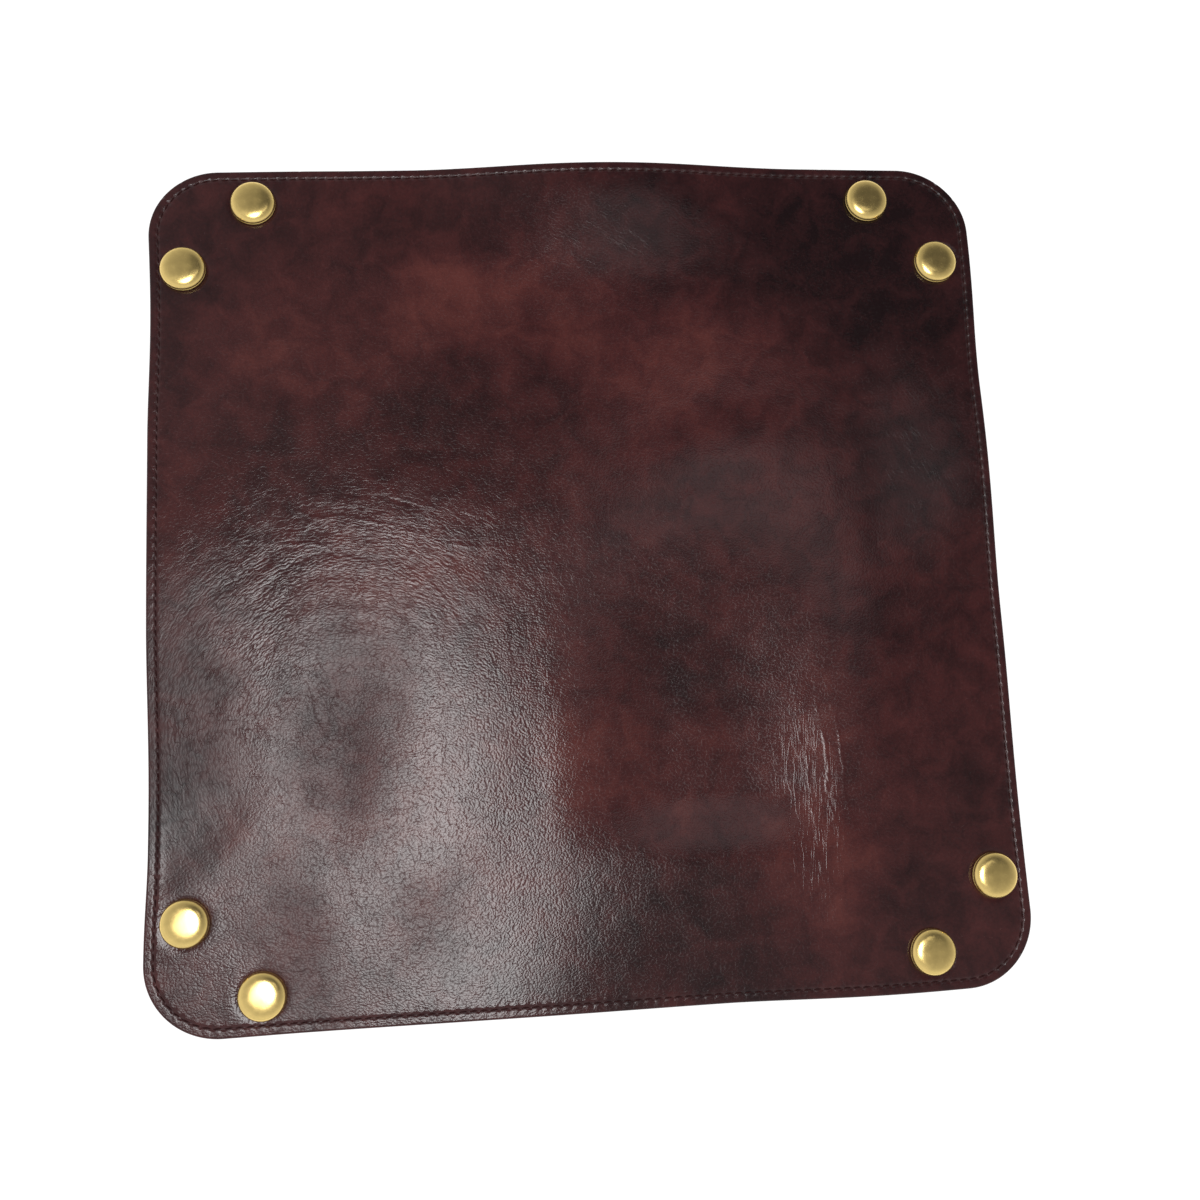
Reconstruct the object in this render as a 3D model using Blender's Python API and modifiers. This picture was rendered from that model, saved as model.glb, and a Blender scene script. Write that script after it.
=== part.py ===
"""A leather dice tray laid flat on a table, with its outer leather face up.

A square of leather is lined with suede cloth. Its corners carry eight snap fasteners, two a corner: each has
a domed cap on the leather, held by a post that is clinched through a socket or a stud on the lining.
Snapping a corner's socket onto its stud pinches the corner into two ears with a narrow crease strip between
them, and the walls then stand square to the base. The sheet bends along straight fold lines, so each
stretch between them is a panel of its own, in leather and in lining.

Frame: +Z up, with the leather on top; +X to the right and +Y away from the front edge. The origin is on the
table, under the middle of the sheet. Lengths are in metres.
"""

import math

import bmesh
import bpy
from mathutils import Matrix, Vector

MM = 0.001
ROOT_2 = math.sqrt(2)

# The sheet
SHEET_SIDE = 280 * MM
WALL_HEIGHT = 42 * MM
CORNER_RADIUS = 23 * MM
LEATHER_THICKNESS = 1.4 * MM
LINING_THICKNESS = 1.0 * MM
LAYER_GAP = 0.3 * MM  # clear between the leather and its lining
FOLD_GAP = 0.3 * MM  # clear between two panels at a fold line
OPEN_GAP = 0.6 * MM  # clear between a crease strip and the ear that it isn't hinged to
SHEET_CELLS = 20  # grid cells along one side of the sheet
CORNER_STEPS = 7  # straight steps round one corner of the outline

# How the loose sheet lies
MOUND_HEIGHT = 0.8 * MM
EDGE_LIFT = 4.0 * MM

# The base sags on to the table between four slopes: where each starts, as a share of the way from the
# sheet's middle to that side's fold line, and how long it is
SAG_SLOPES = {
    "front": (1.0, 26 * MM),
    "right": (1.0, 55 * MM),
    "back": (0.22, 62 * MM),
    "left": (0.16, 43 * MM),
}

# Mounds of the base, and a hollow: centre x, centre y, half length and half width as shares of half the
# sheet's side, the turn of the long way from +X as a share of a half turn, and the rise as a share of
# MOUND_HEIGHT
MOUND_SHARES = (
    (-0.32, 0.17, 0.36, 0.15, -0.04, 1.0),
    (0.34, 0.27, 0.30, 0.15, 0.06, 0.7),
    (-0.58, -0.40, 0.28, 0.11, 0.48, -0.8),
)

# Lifts of the outer edges: for each side in turn, the middle and the half length along it as shares of half
# the sheet's side, and the rise as a share of EDGE_LIFT
LIFT_SHARES = {
    "front": (-0.16, 0.42, 0.25),
    "right": (0.24, 0.36, 0.45),
    "back": (-0.10, 0.49, 1.0),
    "left": (0.05, 0.45, 0.30),
}

# Snap fasteners, measured from a corner of the sheet along its edge, and in from that edge
SNAP_ALONG = 34.5 * MM
SNAP_INSET = 11.6 * MM
SEAT_GAP = 0.3 * MM  # clear between a metal piece and what it is clinched against
SNAP_CLEARANCE = 0.15 * MM  # between a closed socket and its stud
TURN_STEPS = 20  # flats round a turned piece
SHARP_ANGLE = math.radians(36)  # a turned piece's edges are sharp from here

# Cap and post
CAP_RADIUS = 7.5 * MM
CAP_RIM_HEIGHT = 0.9 * MM
CAP_DOME_RADIUS = 7.1 * MM
CAP_DOME_HEIGHT = 2.3 * MM
CAP_DOME_STEPS = 5
CAP_RIM_STEPS = 3
POST_RADIUS = 1.9 * MM
POST_CLEARANCE = 0.3 * MM
CLINCH_RADIUS = 2.6 * MM
CLINCH_THICKNESS = 0.4 * MM

# Socket
SOCKET_RADIUS = 6.3 * MM
SOCKET_HEIGHT = 3.8 * MM
SOCKET_FLOOR = 0.6 * MM
SOCKET_BORE_RADIUS = 3.45 * MM
SOCKET_MOUTH_RADIUS = 4.2 * MM
SOCKET_EDGE_ROUND = 0.5 * MM
GROOVE_DEPTH = 0.5 * MM
GROOVE_HEIGHT = 0.9 * MM
GROOVE_LIP = 0.3 * MM  # wall left between the groove and the mouth's bevel

# Ring spring in the socket's groove
SPRING_WIRE_RADIUS = 0.25 * MM
SPRING_RING_RADIUS = 3.48 * MM
SPRING_OPEN_SHARE = 0.14  # of a full turn, left open between its ends
SPRING_STEPS = 13  # straight stretches of its wire

# Stud
STUD_RADIUS = 6.0 * MM
STUD_FLANGE = 0.7 * MM
STUD_NECK_RADIUS = 2.65 * MM
STUD_HEAD_RADIUS = 3.0 * MM
STUD_FILLET = 0.3 * MM
STUD_STEM_SHARES = (0.33, 0.67)  # of the stem from its flange, where the neck ends and the head is widest

# Worked out from the above
HALF_SIDE = SHEET_SIDE / 2
SHEET_THICKNESS = LEATHER_THICKNESS + LAYER_GAP + LINING_THICKNESS
LINING_LEVEL = SEAT_GAP + SOCKET_HEIGHT  # the lining's face over the table, where the sockets carry it
LEATHER_LEVEL = LINING_LEVEL + SHEET_THICKNESS
FOLD_PLACE = HALF_SIDE - WALL_HEIGHT  # from the middle out to a fold line
# Closed, the two ears stand this far apart, lining to lining, and the crease strip bridges them
CREASE_WIDTH = 2 * SEAT_GAP + SOCKET_HEIGHT + SNAP_CLEARANCE + STUD_FLANGE
# An ear turns 45 degrees about the leather's face, which puts its lining half a crease from the diagonal
EAR_PLACE = FOLD_PLACE + SHEET_THICKNESS - ROOT_2 * (SHEET_THICKNESS + CREASE_WIDTH / 2)
CORNER_PLACE = FOLD_PLACE - ROOT_2 * CREASE_WIDTH / 2  # along a fold line, where the base's corner is cut off
HOLE_RADIUS = POST_RADIUS + POST_CLEARANCE
SOCKET_CLINCH_DEPTH = SEAT_GAP + SOCKET_FLOOR + SEAT_GAP  # from the lining to the clinch in a socket
STUD_CLINCH_DEPTH = CREASE_WIDTH - SOCKET_CLINCH_DEPTH - 2 * CLINCH_THICKNESS - SNAP_CLEARANCE
STUD_HEIGHT = STUD_CLINCH_DEPTH - 2 * SEAT_GAP
CUT_OVERRUN = 20 * MM  # how far every cutter runs past what it cuts

SIDES = ("front", "right", "back", "left")

COLLECTION = bpy.data.collections.new("dice_tray")
CUTTERS = bpy.data.collections.new("cutters")


def clear_scene():
    for old in list(bpy.data.objects):
        bpy.data.objects.remove(old, do_unlink=True)
    for collection in (COLLECTION, CUTTERS):
        bpy.context.scene.collection.children.link(collection)


def make_material(name, colour, roughness, metallic):
    material = bpy.data.materials.new(name)
    material.use_nodes = True
    shader = material.node_tree.nodes["Principled BSDF"]
    shader.inputs["Base Color"].default_value = (*colour, 1)
    shader.inputs["Roughness"].default_value = roughness
    shader.inputs["Metallic"].default_value = metallic
    material.diffuse_color = (*colour, 1)
    return material


def paint(obj, material):
    obj.data.materials.clear()
    obj.data.materials.append(material)


# How the sheet lies

def ease(share):
    """0 to 1 with level ends."""
    held = min(max(share, 0), 1)
    return held * held * (3 - 2 * held)


def mound(along, across):
    """1 in the middle of a unit circle and 0 from its rim out, level at both."""
    inside = 1 - along * along - across * across
    return inside * inside if inside > 0 else 0


def side_turn(side):
    """The turn about Z that takes the front side to this one."""
    return Matrix.Rotation(SIDES.index(side) * math.pi / 2, 4, "Z")


def base_mounds(x, y):
    rise = 0
    for x_share, y_share, length_share, width_share, turn_share, rise_share in MOUND_SHARES:
        away = Vector((x - x_share * HALF_SIDE, y - y_share * HALF_SIDE))
        turn = turn_share * math.pi
        along = away.x * math.cos(turn) + away.y * math.sin(turn)
        across = away.y * math.cos(turn) - away.x * math.sin(turn)
        bump = mound(along / (length_share * HALF_SIDE), across / (width_share * HALF_SIDE))
        rise += rise_share * MOUND_HEIGHT * bump
    return rise


def edge_lifts(x, y):
    rise = 0
    for side, (middle_share, length_share, rise_share) in LIFT_SHARES.items():
        here = side_turn(side).inverted() @ Vector((x, y, 0))
        outward = ease((-here.y - FOLD_PLACE) / WALL_HEIGHT)
        along = (here.x - middle_share * HALF_SIDE) / (length_share * HALF_SIDE)
        rise += rise_share * EDGE_LIFT * outward * mound(along, 0)
    return rise


def lining_height(x, y):
    """The lining's lower face over the table."""
    sag = 1
    for side, (start_share, run) in SAG_SLOPES.items():
        here = side_turn(side).inverted() @ Vector((x, y, 0))
        sag *= ease((start_share * FOLD_PLACE + here.y) / run)
    return LINING_LEVEL * (1 - sag) + base_mounds(x, y) + edge_lifts(x, y)


# Meshes and cutters

def mesh_from(obj, name):
    """The object's evaluated mesh, welded, and the object removed."""
    bpy.context.view_layer.update()
    graph = bpy.context.evaluated_depsgraph_get()
    mesh = bpy.data.meshes.new_from_object(obj.evaluated_get(graph))
    mesh.name = name
    mesh.transform(obj.matrix_world)
    bpy.data.objects.remove(obj, do_unlink=True)
    shape = bmesh.new()
    shape.from_mesh(mesh)
    bmesh.ops.remove_doubles(shape, verts=shape.verts, dist=0.001 * MM)
    shape.to_mesh(mesh)
    shape.free()
    return mesh


def make_cutter(mesh):
    cutter = bpy.data.objects.new(mesh.name, mesh)
    cutter.hide_render = True
    cutter.display_type = "WIRE"
    CUTTERS.objects.link(cutter)
    return cutter


def make_prism(name, outline):
    """A cutter that stands on this outline of (x, y) points and runs past the sheet above and below."""
    curve = bpy.data.curves.new(name, "CURVE")
    curve.dimensions = "2D"
    curve.fill_mode = "BOTH"
    curve.extrude = LEATHER_LEVEL + CUT_OVERRUN
    spline = curve.splines.new("POLY")
    spline.points.add(len(outline) - 1)
    for point, (x, y) in zip(spline.points, outline):
        point.co = (x, y, 0, 1)
    spline.use_cyclic_u = True
    guide = bpy.data.objects.new(name, curve)
    CUTTERS.objects.link(guide)
    return make_cutter(mesh_from(guide, name))


def add_cut(obj, cutter, operation):
    cut = obj.modifiers.new(cutter.name, "BOOLEAN")
    cut.operation = operation
    cut.solver = "EXACT"
    cut.object = cutter


def rounded_square():
    """The sheet's outline, with an arc at each corner."""
    outline = []
    centre = HALF_SIDE - CORNER_RADIUS
    for corner in range(len(SIDES)):
        middle = Matrix.Rotation(corner * math.pi / 2, 2) @ Vector((centre, centre))
        for step in range(CORNER_STEPS + 1):
            angle = (corner + step / CORNER_STEPS) * math.pi / 2
            outline.append(
                (middle.x + CORNER_RADIUS * math.cos(angle), middle.y + CORNER_RADIUS * math.sin(angle))
            )
    return outline


def make_layer(name, lower, thickness):
    """One layer of the whole sheet as a mesh: a grid laid on the table's swells, thickened and trimmed."""
    mesh = bpy.data.meshes.new(name)
    shape = bmesh.new()
    reach = HALF_SIDE * (1 + 2 / SHEET_CELLS)
    bmesh.ops.create_grid(shape, x_segments=SHEET_CELLS + 2, y_segments=SHEET_CELLS + 2, size=reach)
    for vert in shape.verts:
        vert.co.z = lower + lining_height(vert.co.x, vert.co.y)
    bmesh.ops.triangulate(shape, faces=shape.faces)
    shape.to_mesh(mesh)
    shape.free()
    layer = bpy.data.objects.new(name, mesh)
    CUTTERS.objects.link(layer)
    thicken = layer.modifiers.new("thicken", "SOLIDIFY")
    thicken.thickness = thickness
    thicken.offset = 1
    trim = make_prism("trim_" + name, rounded_square())
    add_cut(layer, trim, "INTERSECT")
    made = mesh_from(layer, name)
    bpy.data.objects.remove(trim, do_unlink=True)
    return made


# Panels of the sheet

def turned(outline, side):
    """An outline drawn for the front side, turned to another side."""
    turn = side_turn(side)
    return [(turn @ Vector((x, y, 0))).to_2d()[:] for x, y in outline]


def base_outline():
    """The square between the fold lines, with its corners cut off square to the crease strips."""
    edge = FOLD_PLACE - FOLD_GAP / 2
    start = CORNER_PLACE - FOLD_GAP
    outline = []
    for side in SIDES:
        outline += turned([(-start, -edge), (start, -edge)], side)
    return outline


def wall_outline():
    """The front wall, between its two ears."""
    end = EAR_PLACE - FOLD_GAP / 2
    fold = -FOLD_PLACE - FOLD_GAP / 2
    rim = -HALF_SIDE - CUT_OVERRUN
    return [(-end, rim), (end, rim), (end, fold), (-end, fold)]


def ear_outline(end):
    """The front wall's ear at its right end (end 1) or left end (end -1), up to the crease strip."""
    start = EAR_PLACE + FOLD_GAP / 2
    fold = -FOLD_PLACE - FOLD_GAP / 2
    rim = -HALF_SIDE - CUT_OVERRUN
    off_diagonal = (CREASE_WIDTH + FOLD_GAP) / ROOT_2
    outline = [(start, rim), (-rim - off_diagonal, rim), (-fold - off_diagonal, fold), (start, fold)]
    if end > 0:
        return outline
    return [(-x, y) for x, y in reversed(outline)]


def crease_outline():
    """The strip along the diagonal of the front right corner, from the base's cut corner out."""
    hinged = (CREASE_WIDTH - FOLD_GAP) / ROOT_2 / 2
    loose = (CREASE_WIDTH + FOLD_GAP - 2 * OPEN_GAP) / ROOT_2 / 2
    inner = (CORNER_PLACE + FOLD_PLACE) / 2
    outer = HALF_SIDE + CUT_OVERRUN
    return [
        (outer - hinged, -outer - hinged),
        (outer + loose, -outer + loose),
        (inner + loose, -inner + loose),
        (inner - hinged, -inner - hinged),
    ]


def make_pivot(name, place, parent=None):
    """An empty on a hinge's axis, which carries everything that turns with it."""
    pivot = bpy.data.objects.new(name, None)
    pivot.empty_display_size = CAP_RADIUS
    pivot.location = place
    COLLECTION.objects.link(pivot)
    if parent:
        carry(pivot, parent)
    return pivot


def carry(obj, pivot):
    """Parents the object to a pivot and keeps it where it is."""
    bpy.context.view_layer.update()
    obj.parent = pivot
    obj.matrix_parent_inverse = pivot.matrix_world.inverted()


def make_panel(body, outline, pivot, holes=()):
    """A stretch of the sheet between fold lines: one leather solid and one lining solid."""
    cutter = make_prism("outline_" + body, outline)
    for layer, material in (("leather", LEATHER), ("lining", LINING)):
        panel = bpy.data.objects.new(layer + "_" + body, LAYERS[layer].copy())
        COLLECTION.objects.link(panel)
        add_cut(panel, cutter, "INTERSECT")
        for hole in holes:
            add_cut(panel, hole, "DIFFERENCE")
        paint(panel, material)
        carry(panel, pivot)


# Snap fasteners

def turned_mesh(name, profile, closed):
    """A profile of (radius, height) points, turned about Z into a mesh."""
    mesh = bpy.data.meshes.new(name)
    edges = [(step, step + 1) for step in range(len(profile) - 1)]
    if closed:
        edges.append((len(profile) - 1, 0))
    mesh.from_pydata([(radius, 0, height) for radius, height in profile], edges, [])
    guide = bpy.data.objects.new(name, mesh)
    CUTTERS.objects.link(guide)
    screw = guide.modifiers.new("turn", "SCREW")
    screw.steps = TURN_STEPS
    screw.render_steps = TURN_STEPS
    screw.use_merge_vertices = True
    screw.merge_threshold = 0.01 * MM
    made = mesh_from(guide, name)
    made.shade_smooth()
    made.set_sharp_from_angle(angle=SHARP_ANGLE)
    return made


def cap_profile(clinch_depth):
    """A domed cap with a rolled rim, and its post, clinched at this depth below the lining's face."""
    rim_round = CAP_RIM_HEIGHT / 2
    clinch_top = -SEAT_GAP - SHEET_THICKNESS - clinch_depth
    profile = []
    for step in range(CAP_DOME_STEPS + 1):
        angle = math.pi / 2 * (1 - step / CAP_DOME_STEPS)
        profile.append((CAP_DOME_RADIUS * math.cos(angle), CAP_RIM_HEIGHT + CAP_DOME_HEIGHT * math.sin(angle)))
    profile[0] = (0, profile[0][1])
    for step in range(CAP_RIM_STEPS + 1):
        angle = math.pi / 2 - math.pi * step / CAP_RIM_STEPS
        radius = CAP_RADIUS - rim_round + rim_round * math.cos(angle)
        profile.append((radius, rim_round + rim_round * math.sin(angle)))
    profile += [
        (POST_RADIUS, 0),
        (POST_RADIUS, clinch_top),
        (CLINCH_RADIUS, clinch_top),
        (CLINCH_RADIUS, clinch_top - CLINCH_THICKNESS / 2),
        (POST_RADIUS, clinch_top - CLINCH_THICKNESS),
        (0, clinch_top - CLINCH_THICKNESS),
    ]
    return profile


def socket_profile():
    """The cup under the lining: a floor with a hole for the post, a bore, and a groove for the spring."""
    bevel = SOCKET_MOUTH_RADIUS - SOCKET_BORE_RADIUS
    groove_low = -SOCKET_HEIGHT + bevel + GROOVE_LIP
    groove_top = groove_low + GROOVE_HEIGHT
    groove_radius = SOCKET_BORE_RADIUS + GROOVE_DEPTH
    return [
        (HOLE_RADIUS, 0),
        (SOCKET_RADIUS - SOCKET_EDGE_ROUND, 0),
        (SOCKET_RADIUS, -SOCKET_EDGE_ROUND),
        (SOCKET_RADIUS, -SOCKET_HEIGHT + SOCKET_EDGE_ROUND),
        (SOCKET_RADIUS - SOCKET_EDGE_ROUND, -SOCKET_HEIGHT),
        (SOCKET_MOUTH_RADIUS, -SOCKET_HEIGHT),
        (SOCKET_BORE_RADIUS, -SOCKET_HEIGHT + bevel),
        (SOCKET_BORE_RADIUS, groove_low),
        (groove_radius, groove_low),
        (groove_radius, groove_top),
        (SOCKET_BORE_RADIUS, groove_top),
        (SOCKET_BORE_RADIUS, -SOCKET_FLOOR),
        (HOLE_RADIUS, -SOCKET_FLOOR),
    ]


def spring_height():
    """The middle of the socket's groove, from the socket's seat down."""
    bevel = SOCKET_MOUTH_RADIUS - SOCKET_BORE_RADIUS
    return -SOCKET_HEIGHT + bevel + GROOVE_LIP + GROOVE_HEIGHT / 2


def stud_profile():
    """The stud under the lining: a flange, a neck and a wider head, with the post's hole through all."""
    stem = STUD_HEIGHT - STUD_FLANGE
    neck_end, head_middle = (-STUD_FLANGE - share * stem for share in STUD_STEM_SHARES)
    return [
        (HOLE_RADIUS, 0),
        (STUD_RADIUS - STUD_FLANGE / 2, 0),
        (STUD_RADIUS, -STUD_FLANGE / 2),
        (STUD_RADIUS - STUD_FLANGE / 2, -STUD_FLANGE),
        (STUD_NECK_RADIUS + STUD_FILLET, -STUD_FLANGE),
        (STUD_NECK_RADIUS, -STUD_FLANGE - STUD_FILLET),
        (STUD_NECK_RADIUS, neck_end),
        (STUD_HEAD_RADIUS, head_middle),
        (STUD_HEAD_RADIUS - STUD_FILLET, -STUD_HEIGHT),
        (HOLE_RADIUS, -STUD_HEIGHT),
    ]


def spring_curve():
    """An open ring of round wire."""
    curve = bpy.data.curves.new("socket_spring", "CURVE")
    curve.dimensions = "3D"
    curve.bevel_depth = SPRING_WIRE_RADIUS
    curve.bevel_resolution = 1
    curve.use_fill_caps = True
    spline = curve.splines.new("POLY")
    spline.points.add(SPRING_STEPS)
    for step, point in enumerate(spline.points):
        angle = 2 * math.pi * (1 - SPRING_OPEN_SHARE) * step / SPRING_STEPS
        point.co = (
            SPRING_RING_RADIUS * math.cos(angle),
            SPRING_RING_RADIUS * math.sin(angle),
            0,
            1,
        )
    return curve


def make_hole(name, place):
    """A cutter for the post's hole through both layers."""
    mesh = bpy.data.meshes.new(name)
    shape = bmesh.new()
    bmesh.ops.create_cone(
        shape,
        cap_ends=True,
        segments=TURN_STEPS,
        radius1=HOLE_RADIUS,
        radius2=HOLE_RADIUS,
        depth=2 * (LEATHER_LEVEL + CUT_OVERRUN),
    )
    shape.to_mesh(mesh)
    shape.free()
    cutter = make_cutter(mesh)
    cutter.location = (place.x, place.y, 0)
    return cutter


def add_fitting(name, data, place, pivot, material):
    fitting = bpy.data.objects.new(name, data)
    COLLECTION.objects.link(fitting)
    fitting.location = place
    if not data.materials:
        data.materials.append(material)
    carry(fitting, pivot)


def make_snap(ear, place, pivot, half):
    """The cap on the leather, and under the lining a socket with its spring, or a stud."""
    seat = Vector((place.x, place.y, LINING_LEVEL - SEAT_GAP))
    on_leather = Vector((place.x, place.y, LEATHER_LEVEL + SEAT_GAP))
    add_fitting("cap_" + ear, FITTINGS["cap_" + half], on_leather, pivot, BRASS)
    add_fitting(half + "_" + ear, FITTINGS[half], seat, pivot, BRASS)
    if half == "socket":
        in_groove = seat + Vector((0, 0, spring_height()))
        add_fitting("socket_spring_" + ear, FITTINGS["spring"], in_groove, pivot, SPRING_STEEL)


# The tray

def make_ear(side, end, wall_pivot):
    """One ear of a side: end 1 holds the socket, end -1 the stud. Returns its name and its pivot."""
    neighbour = SIDES[(SIDES.index(side) + end) % len(SIDES)]
    name = side + "_" + neighbour
    turn = side_turn(side)
    place = turn @ Vector((end * (HALF_SIDE - SNAP_ALONG), -HALF_SIDE + SNAP_INSET, 0))
    hinge = turn @ Vector((end * EAR_PLACE, -FOLD_PLACE - WALL_HEIGHT / 2, LEATHER_LEVEL))
    pivot = make_pivot("pivot_ear_" + name, hinge, wall_pivot)
    hole = make_hole("hole_" + name, place)
    make_panel("ear_" + name, turned(ear_outline(end), side), pivot, (hole,))
    make_snap(name, place, pivot, "socket" if end > 0 else "stud")
    return name, pivot


def make_crease(side, ear_pivot, name):
    """The strip between a side's socket ear and the next side's stud ear, hinged to the socket ear."""
    turn = side_turn(side)
    middle = (HALF_SIDE + FOLD_PLACE) / 2
    off_line = CREASE_WIDTH / ROOT_2 / 2
    hinge = turn @ Vector((middle - off_line, -middle - off_line, LINING_LEVEL))
    pivot = make_pivot("pivot_crease_" + name, hinge, ear_pivot)
    make_panel("crease_" + name, turned(crease_outline(), side), pivot)


def make_side(side, base_pivot):
    hinge = side_turn(side) @ Vector((0, -FOLD_PLACE, LINING_LEVEL))
    wall_pivot = make_pivot("pivot_wall_" + side, hinge, base_pivot)
    make_panel("wall_" + side, turned(wall_outline(), side), wall_pivot)
    name, ear_pivot = make_ear(side, 1, wall_pivot)
    make_crease(side, ear_pivot, name)
    make_ear(side, -1, wall_pivot)


clear_scene()
LEATHER = make_material("oxblood_leather", (0.075, 0.020, 0.018), 0.38, 0)
LINING = make_material("suede_lining", (0.115, 0.022, 0.026), 0.95, 0)
BRASS = make_material("polished_brass", (0.80, 0.58, 0.24), 0.18, 1)
SPRING_STEEL = make_material("spring_steel", (0.55, 0.55, 0.57), 0.35, 1)
LAYERS = {
    "lining": make_layer("lining", 0, LINING_THICKNESS),
    "leather": make_layer("leather", LINING_THICKNESS + LAYER_GAP, LEATHER_THICKNESS),
}
FITTINGS = {
    "cap_socket": turned_mesh("cap_socket", cap_profile(SOCKET_CLINCH_DEPTH), False),
    "cap_stud": turned_mesh("cap_stud", cap_profile(STUD_CLINCH_DEPTH), False),
    "socket": turned_mesh("socket", socket_profile(), True),
    "stud": turned_mesh("stud", stud_profile(), True),
    "spring": spring_curve(),
}
base_pivot = make_pivot("pivot_base", (0, 0, 0))
make_panel("base", base_outline(), base_pivot)
for side_name in SIDES:
    make_side(side_name, base_pivot)
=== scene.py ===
"""The looks of a leather dice tray laid flat, with its outer leather face up.

The leather and its lining are fine meshes over the frame's panels, one piece a body, cut from one continuous
sheet, so that nothing shows at the fold lines. Lengths are in metres. Places on the sheet are measured on its
flat cut, with the origin in its middle, +X to the right and +Y away from the front edge.
"""

import math

import bmesh
import bpy
import numpy as np
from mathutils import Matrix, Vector
from mathutils.geometry import delaunay_2d_cdt


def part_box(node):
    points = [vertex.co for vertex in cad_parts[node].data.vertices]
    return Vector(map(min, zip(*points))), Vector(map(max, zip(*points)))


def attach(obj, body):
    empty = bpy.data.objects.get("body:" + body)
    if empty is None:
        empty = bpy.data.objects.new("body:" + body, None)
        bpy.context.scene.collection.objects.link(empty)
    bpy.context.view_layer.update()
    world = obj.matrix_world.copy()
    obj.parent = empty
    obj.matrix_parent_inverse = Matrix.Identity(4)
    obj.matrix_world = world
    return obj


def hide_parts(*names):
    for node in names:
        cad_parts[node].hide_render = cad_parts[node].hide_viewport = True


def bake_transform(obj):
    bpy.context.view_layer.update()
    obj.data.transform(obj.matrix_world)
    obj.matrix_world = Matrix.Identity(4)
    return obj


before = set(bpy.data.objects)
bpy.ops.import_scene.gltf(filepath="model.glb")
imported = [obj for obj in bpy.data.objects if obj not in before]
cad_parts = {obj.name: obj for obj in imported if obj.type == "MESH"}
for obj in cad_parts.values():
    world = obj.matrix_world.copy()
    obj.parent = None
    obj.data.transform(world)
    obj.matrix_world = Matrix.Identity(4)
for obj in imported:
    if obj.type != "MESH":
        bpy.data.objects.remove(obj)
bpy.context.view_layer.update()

MM = 0.001
ROOT_2 = math.sqrt(2)
SIDES = ("front", "right", "back", "left")

# The frame's own sizes
SHEET_SIDE = 280 * MM
WALL_HEIGHT = 42 * MM
CORNER_RADIUS = 23 * MM
LEATHER_THICKNESS = 1.4 * MM
LINING_THICKNESS = 1.0 * MM
LAYER_GAP = 0.3 * MM
MOUND_HEIGHT = 0.8 * MM
EDGE_LIFT = 4.0 * MM
SNAP_ALONG = 34.5 * MM
SNAP_INSET = 11.6 * MM
SEAT_GAP = 0.3 * MM
SNAP_CLEARANCE = 0.15 * MM
SOCKET_HEIGHT = 3.8 * MM
STUD_FLANGE = 0.7 * MM
HALF_SIDE = SHEET_SIDE / 2
SHEET_THICKNESS = LEATHER_THICKNESS + LAYER_GAP + LINING_THICKNESS
LINING_LEVEL = SEAT_GAP + SOCKET_HEIGHT
FOLD_PLACE = HALF_SIDE - WALL_HEIGHT
CREASE_WIDTH = 2 * SEAT_GAP + SOCKET_HEIGHT + SNAP_CLEARANCE + STUD_FLANGE
EAR_PLACE = FOLD_PLACE + SHEET_THICKNESS - ROOT_2 * (SHEET_THICKNESS + CREASE_WIDTH / 2)
CORNER_PLACE = FOLD_PLACE - ROOT_2 * CREASE_WIDTH / 2
ARC_CENTRE = HALF_SIDE - CORNER_RADIUS

# How far to either side of a fold line the sheet bends
WALL_BEND = 3.0 * MM
EAR_BEND = 3.0 * MM
CREASE_BEND = 2.4 * MM
EAR_START = EAR_PLACE - EAR_BEND
CREASE_START = -CREASE_WIDTH / 2 - CREASE_BEND

# Where the base sags on to the table: for each side, where the slope starts as a share of the way out to the
# fold line, and how long it is
SAG_SLOPES = {
    "front": (1.0, 26 * MM),
    "right": (1.0, 55 * MM),
    "back": (0.22, 62 * MM),
    "left": (0.16, 43 * MM),
}

SAG_BRIDGED = 0.35  # the share of the sag that the stiffer leather doesn't follow

# Mounds of the base, and a hollow: centre x and y, half length and half width as shares of half the side, the
# turn of the long way as a share of a half turn, and the rise as a share of MOUND_HEIGHT
MOUND_SHARES = (
    (-0.32, 0.17, 0.36, 0.15, -0.04, 1.0),
    (0.34, 0.27, 0.30, 0.15, 0.06, 0.7),
    (-0.58, -0.40, 0.28, 0.11, 0.48, -0.8),
)

# Lifts of the outer edges: middle and half length as shares of half the side, and the rise as a share of
# EDGE_LIFT
LIFT_SHARES = {
    "front": (-0.16, 0.42, 0.25),
    "right": (0.24, 0.36, 0.45),
    "back": (-0.10, 0.49, 1.0),
    "left": (0.05, 0.45, 0.30),
}

# Bows of the edges as the sheet lies: middle and half length as shares of half the side, and how far out
EDGE_BOWS = {
    "front": ((0.66, 0.40, 1.0 * MM), (-0.95, 0.30, 0.3 * MM)),
    "right": ((-0.60, 0.40, -0.6 * MM), (0.35, 0.40, 0.3 * MM), (0.78, 0.36, 1.6 * MM)),
    "back": ((-0.12, 0.70, 1.7 * MM), (0.55, 0.40, 0.5 * MM), (-0.70, 0.35, 0.5 * MM)),
    "left": ((-0.64, 0.30, -0.9 * MM), (0.45, 0.35, -0.6 * MM), (0.88, 0.28, 1.0 * MM)),
}

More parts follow.
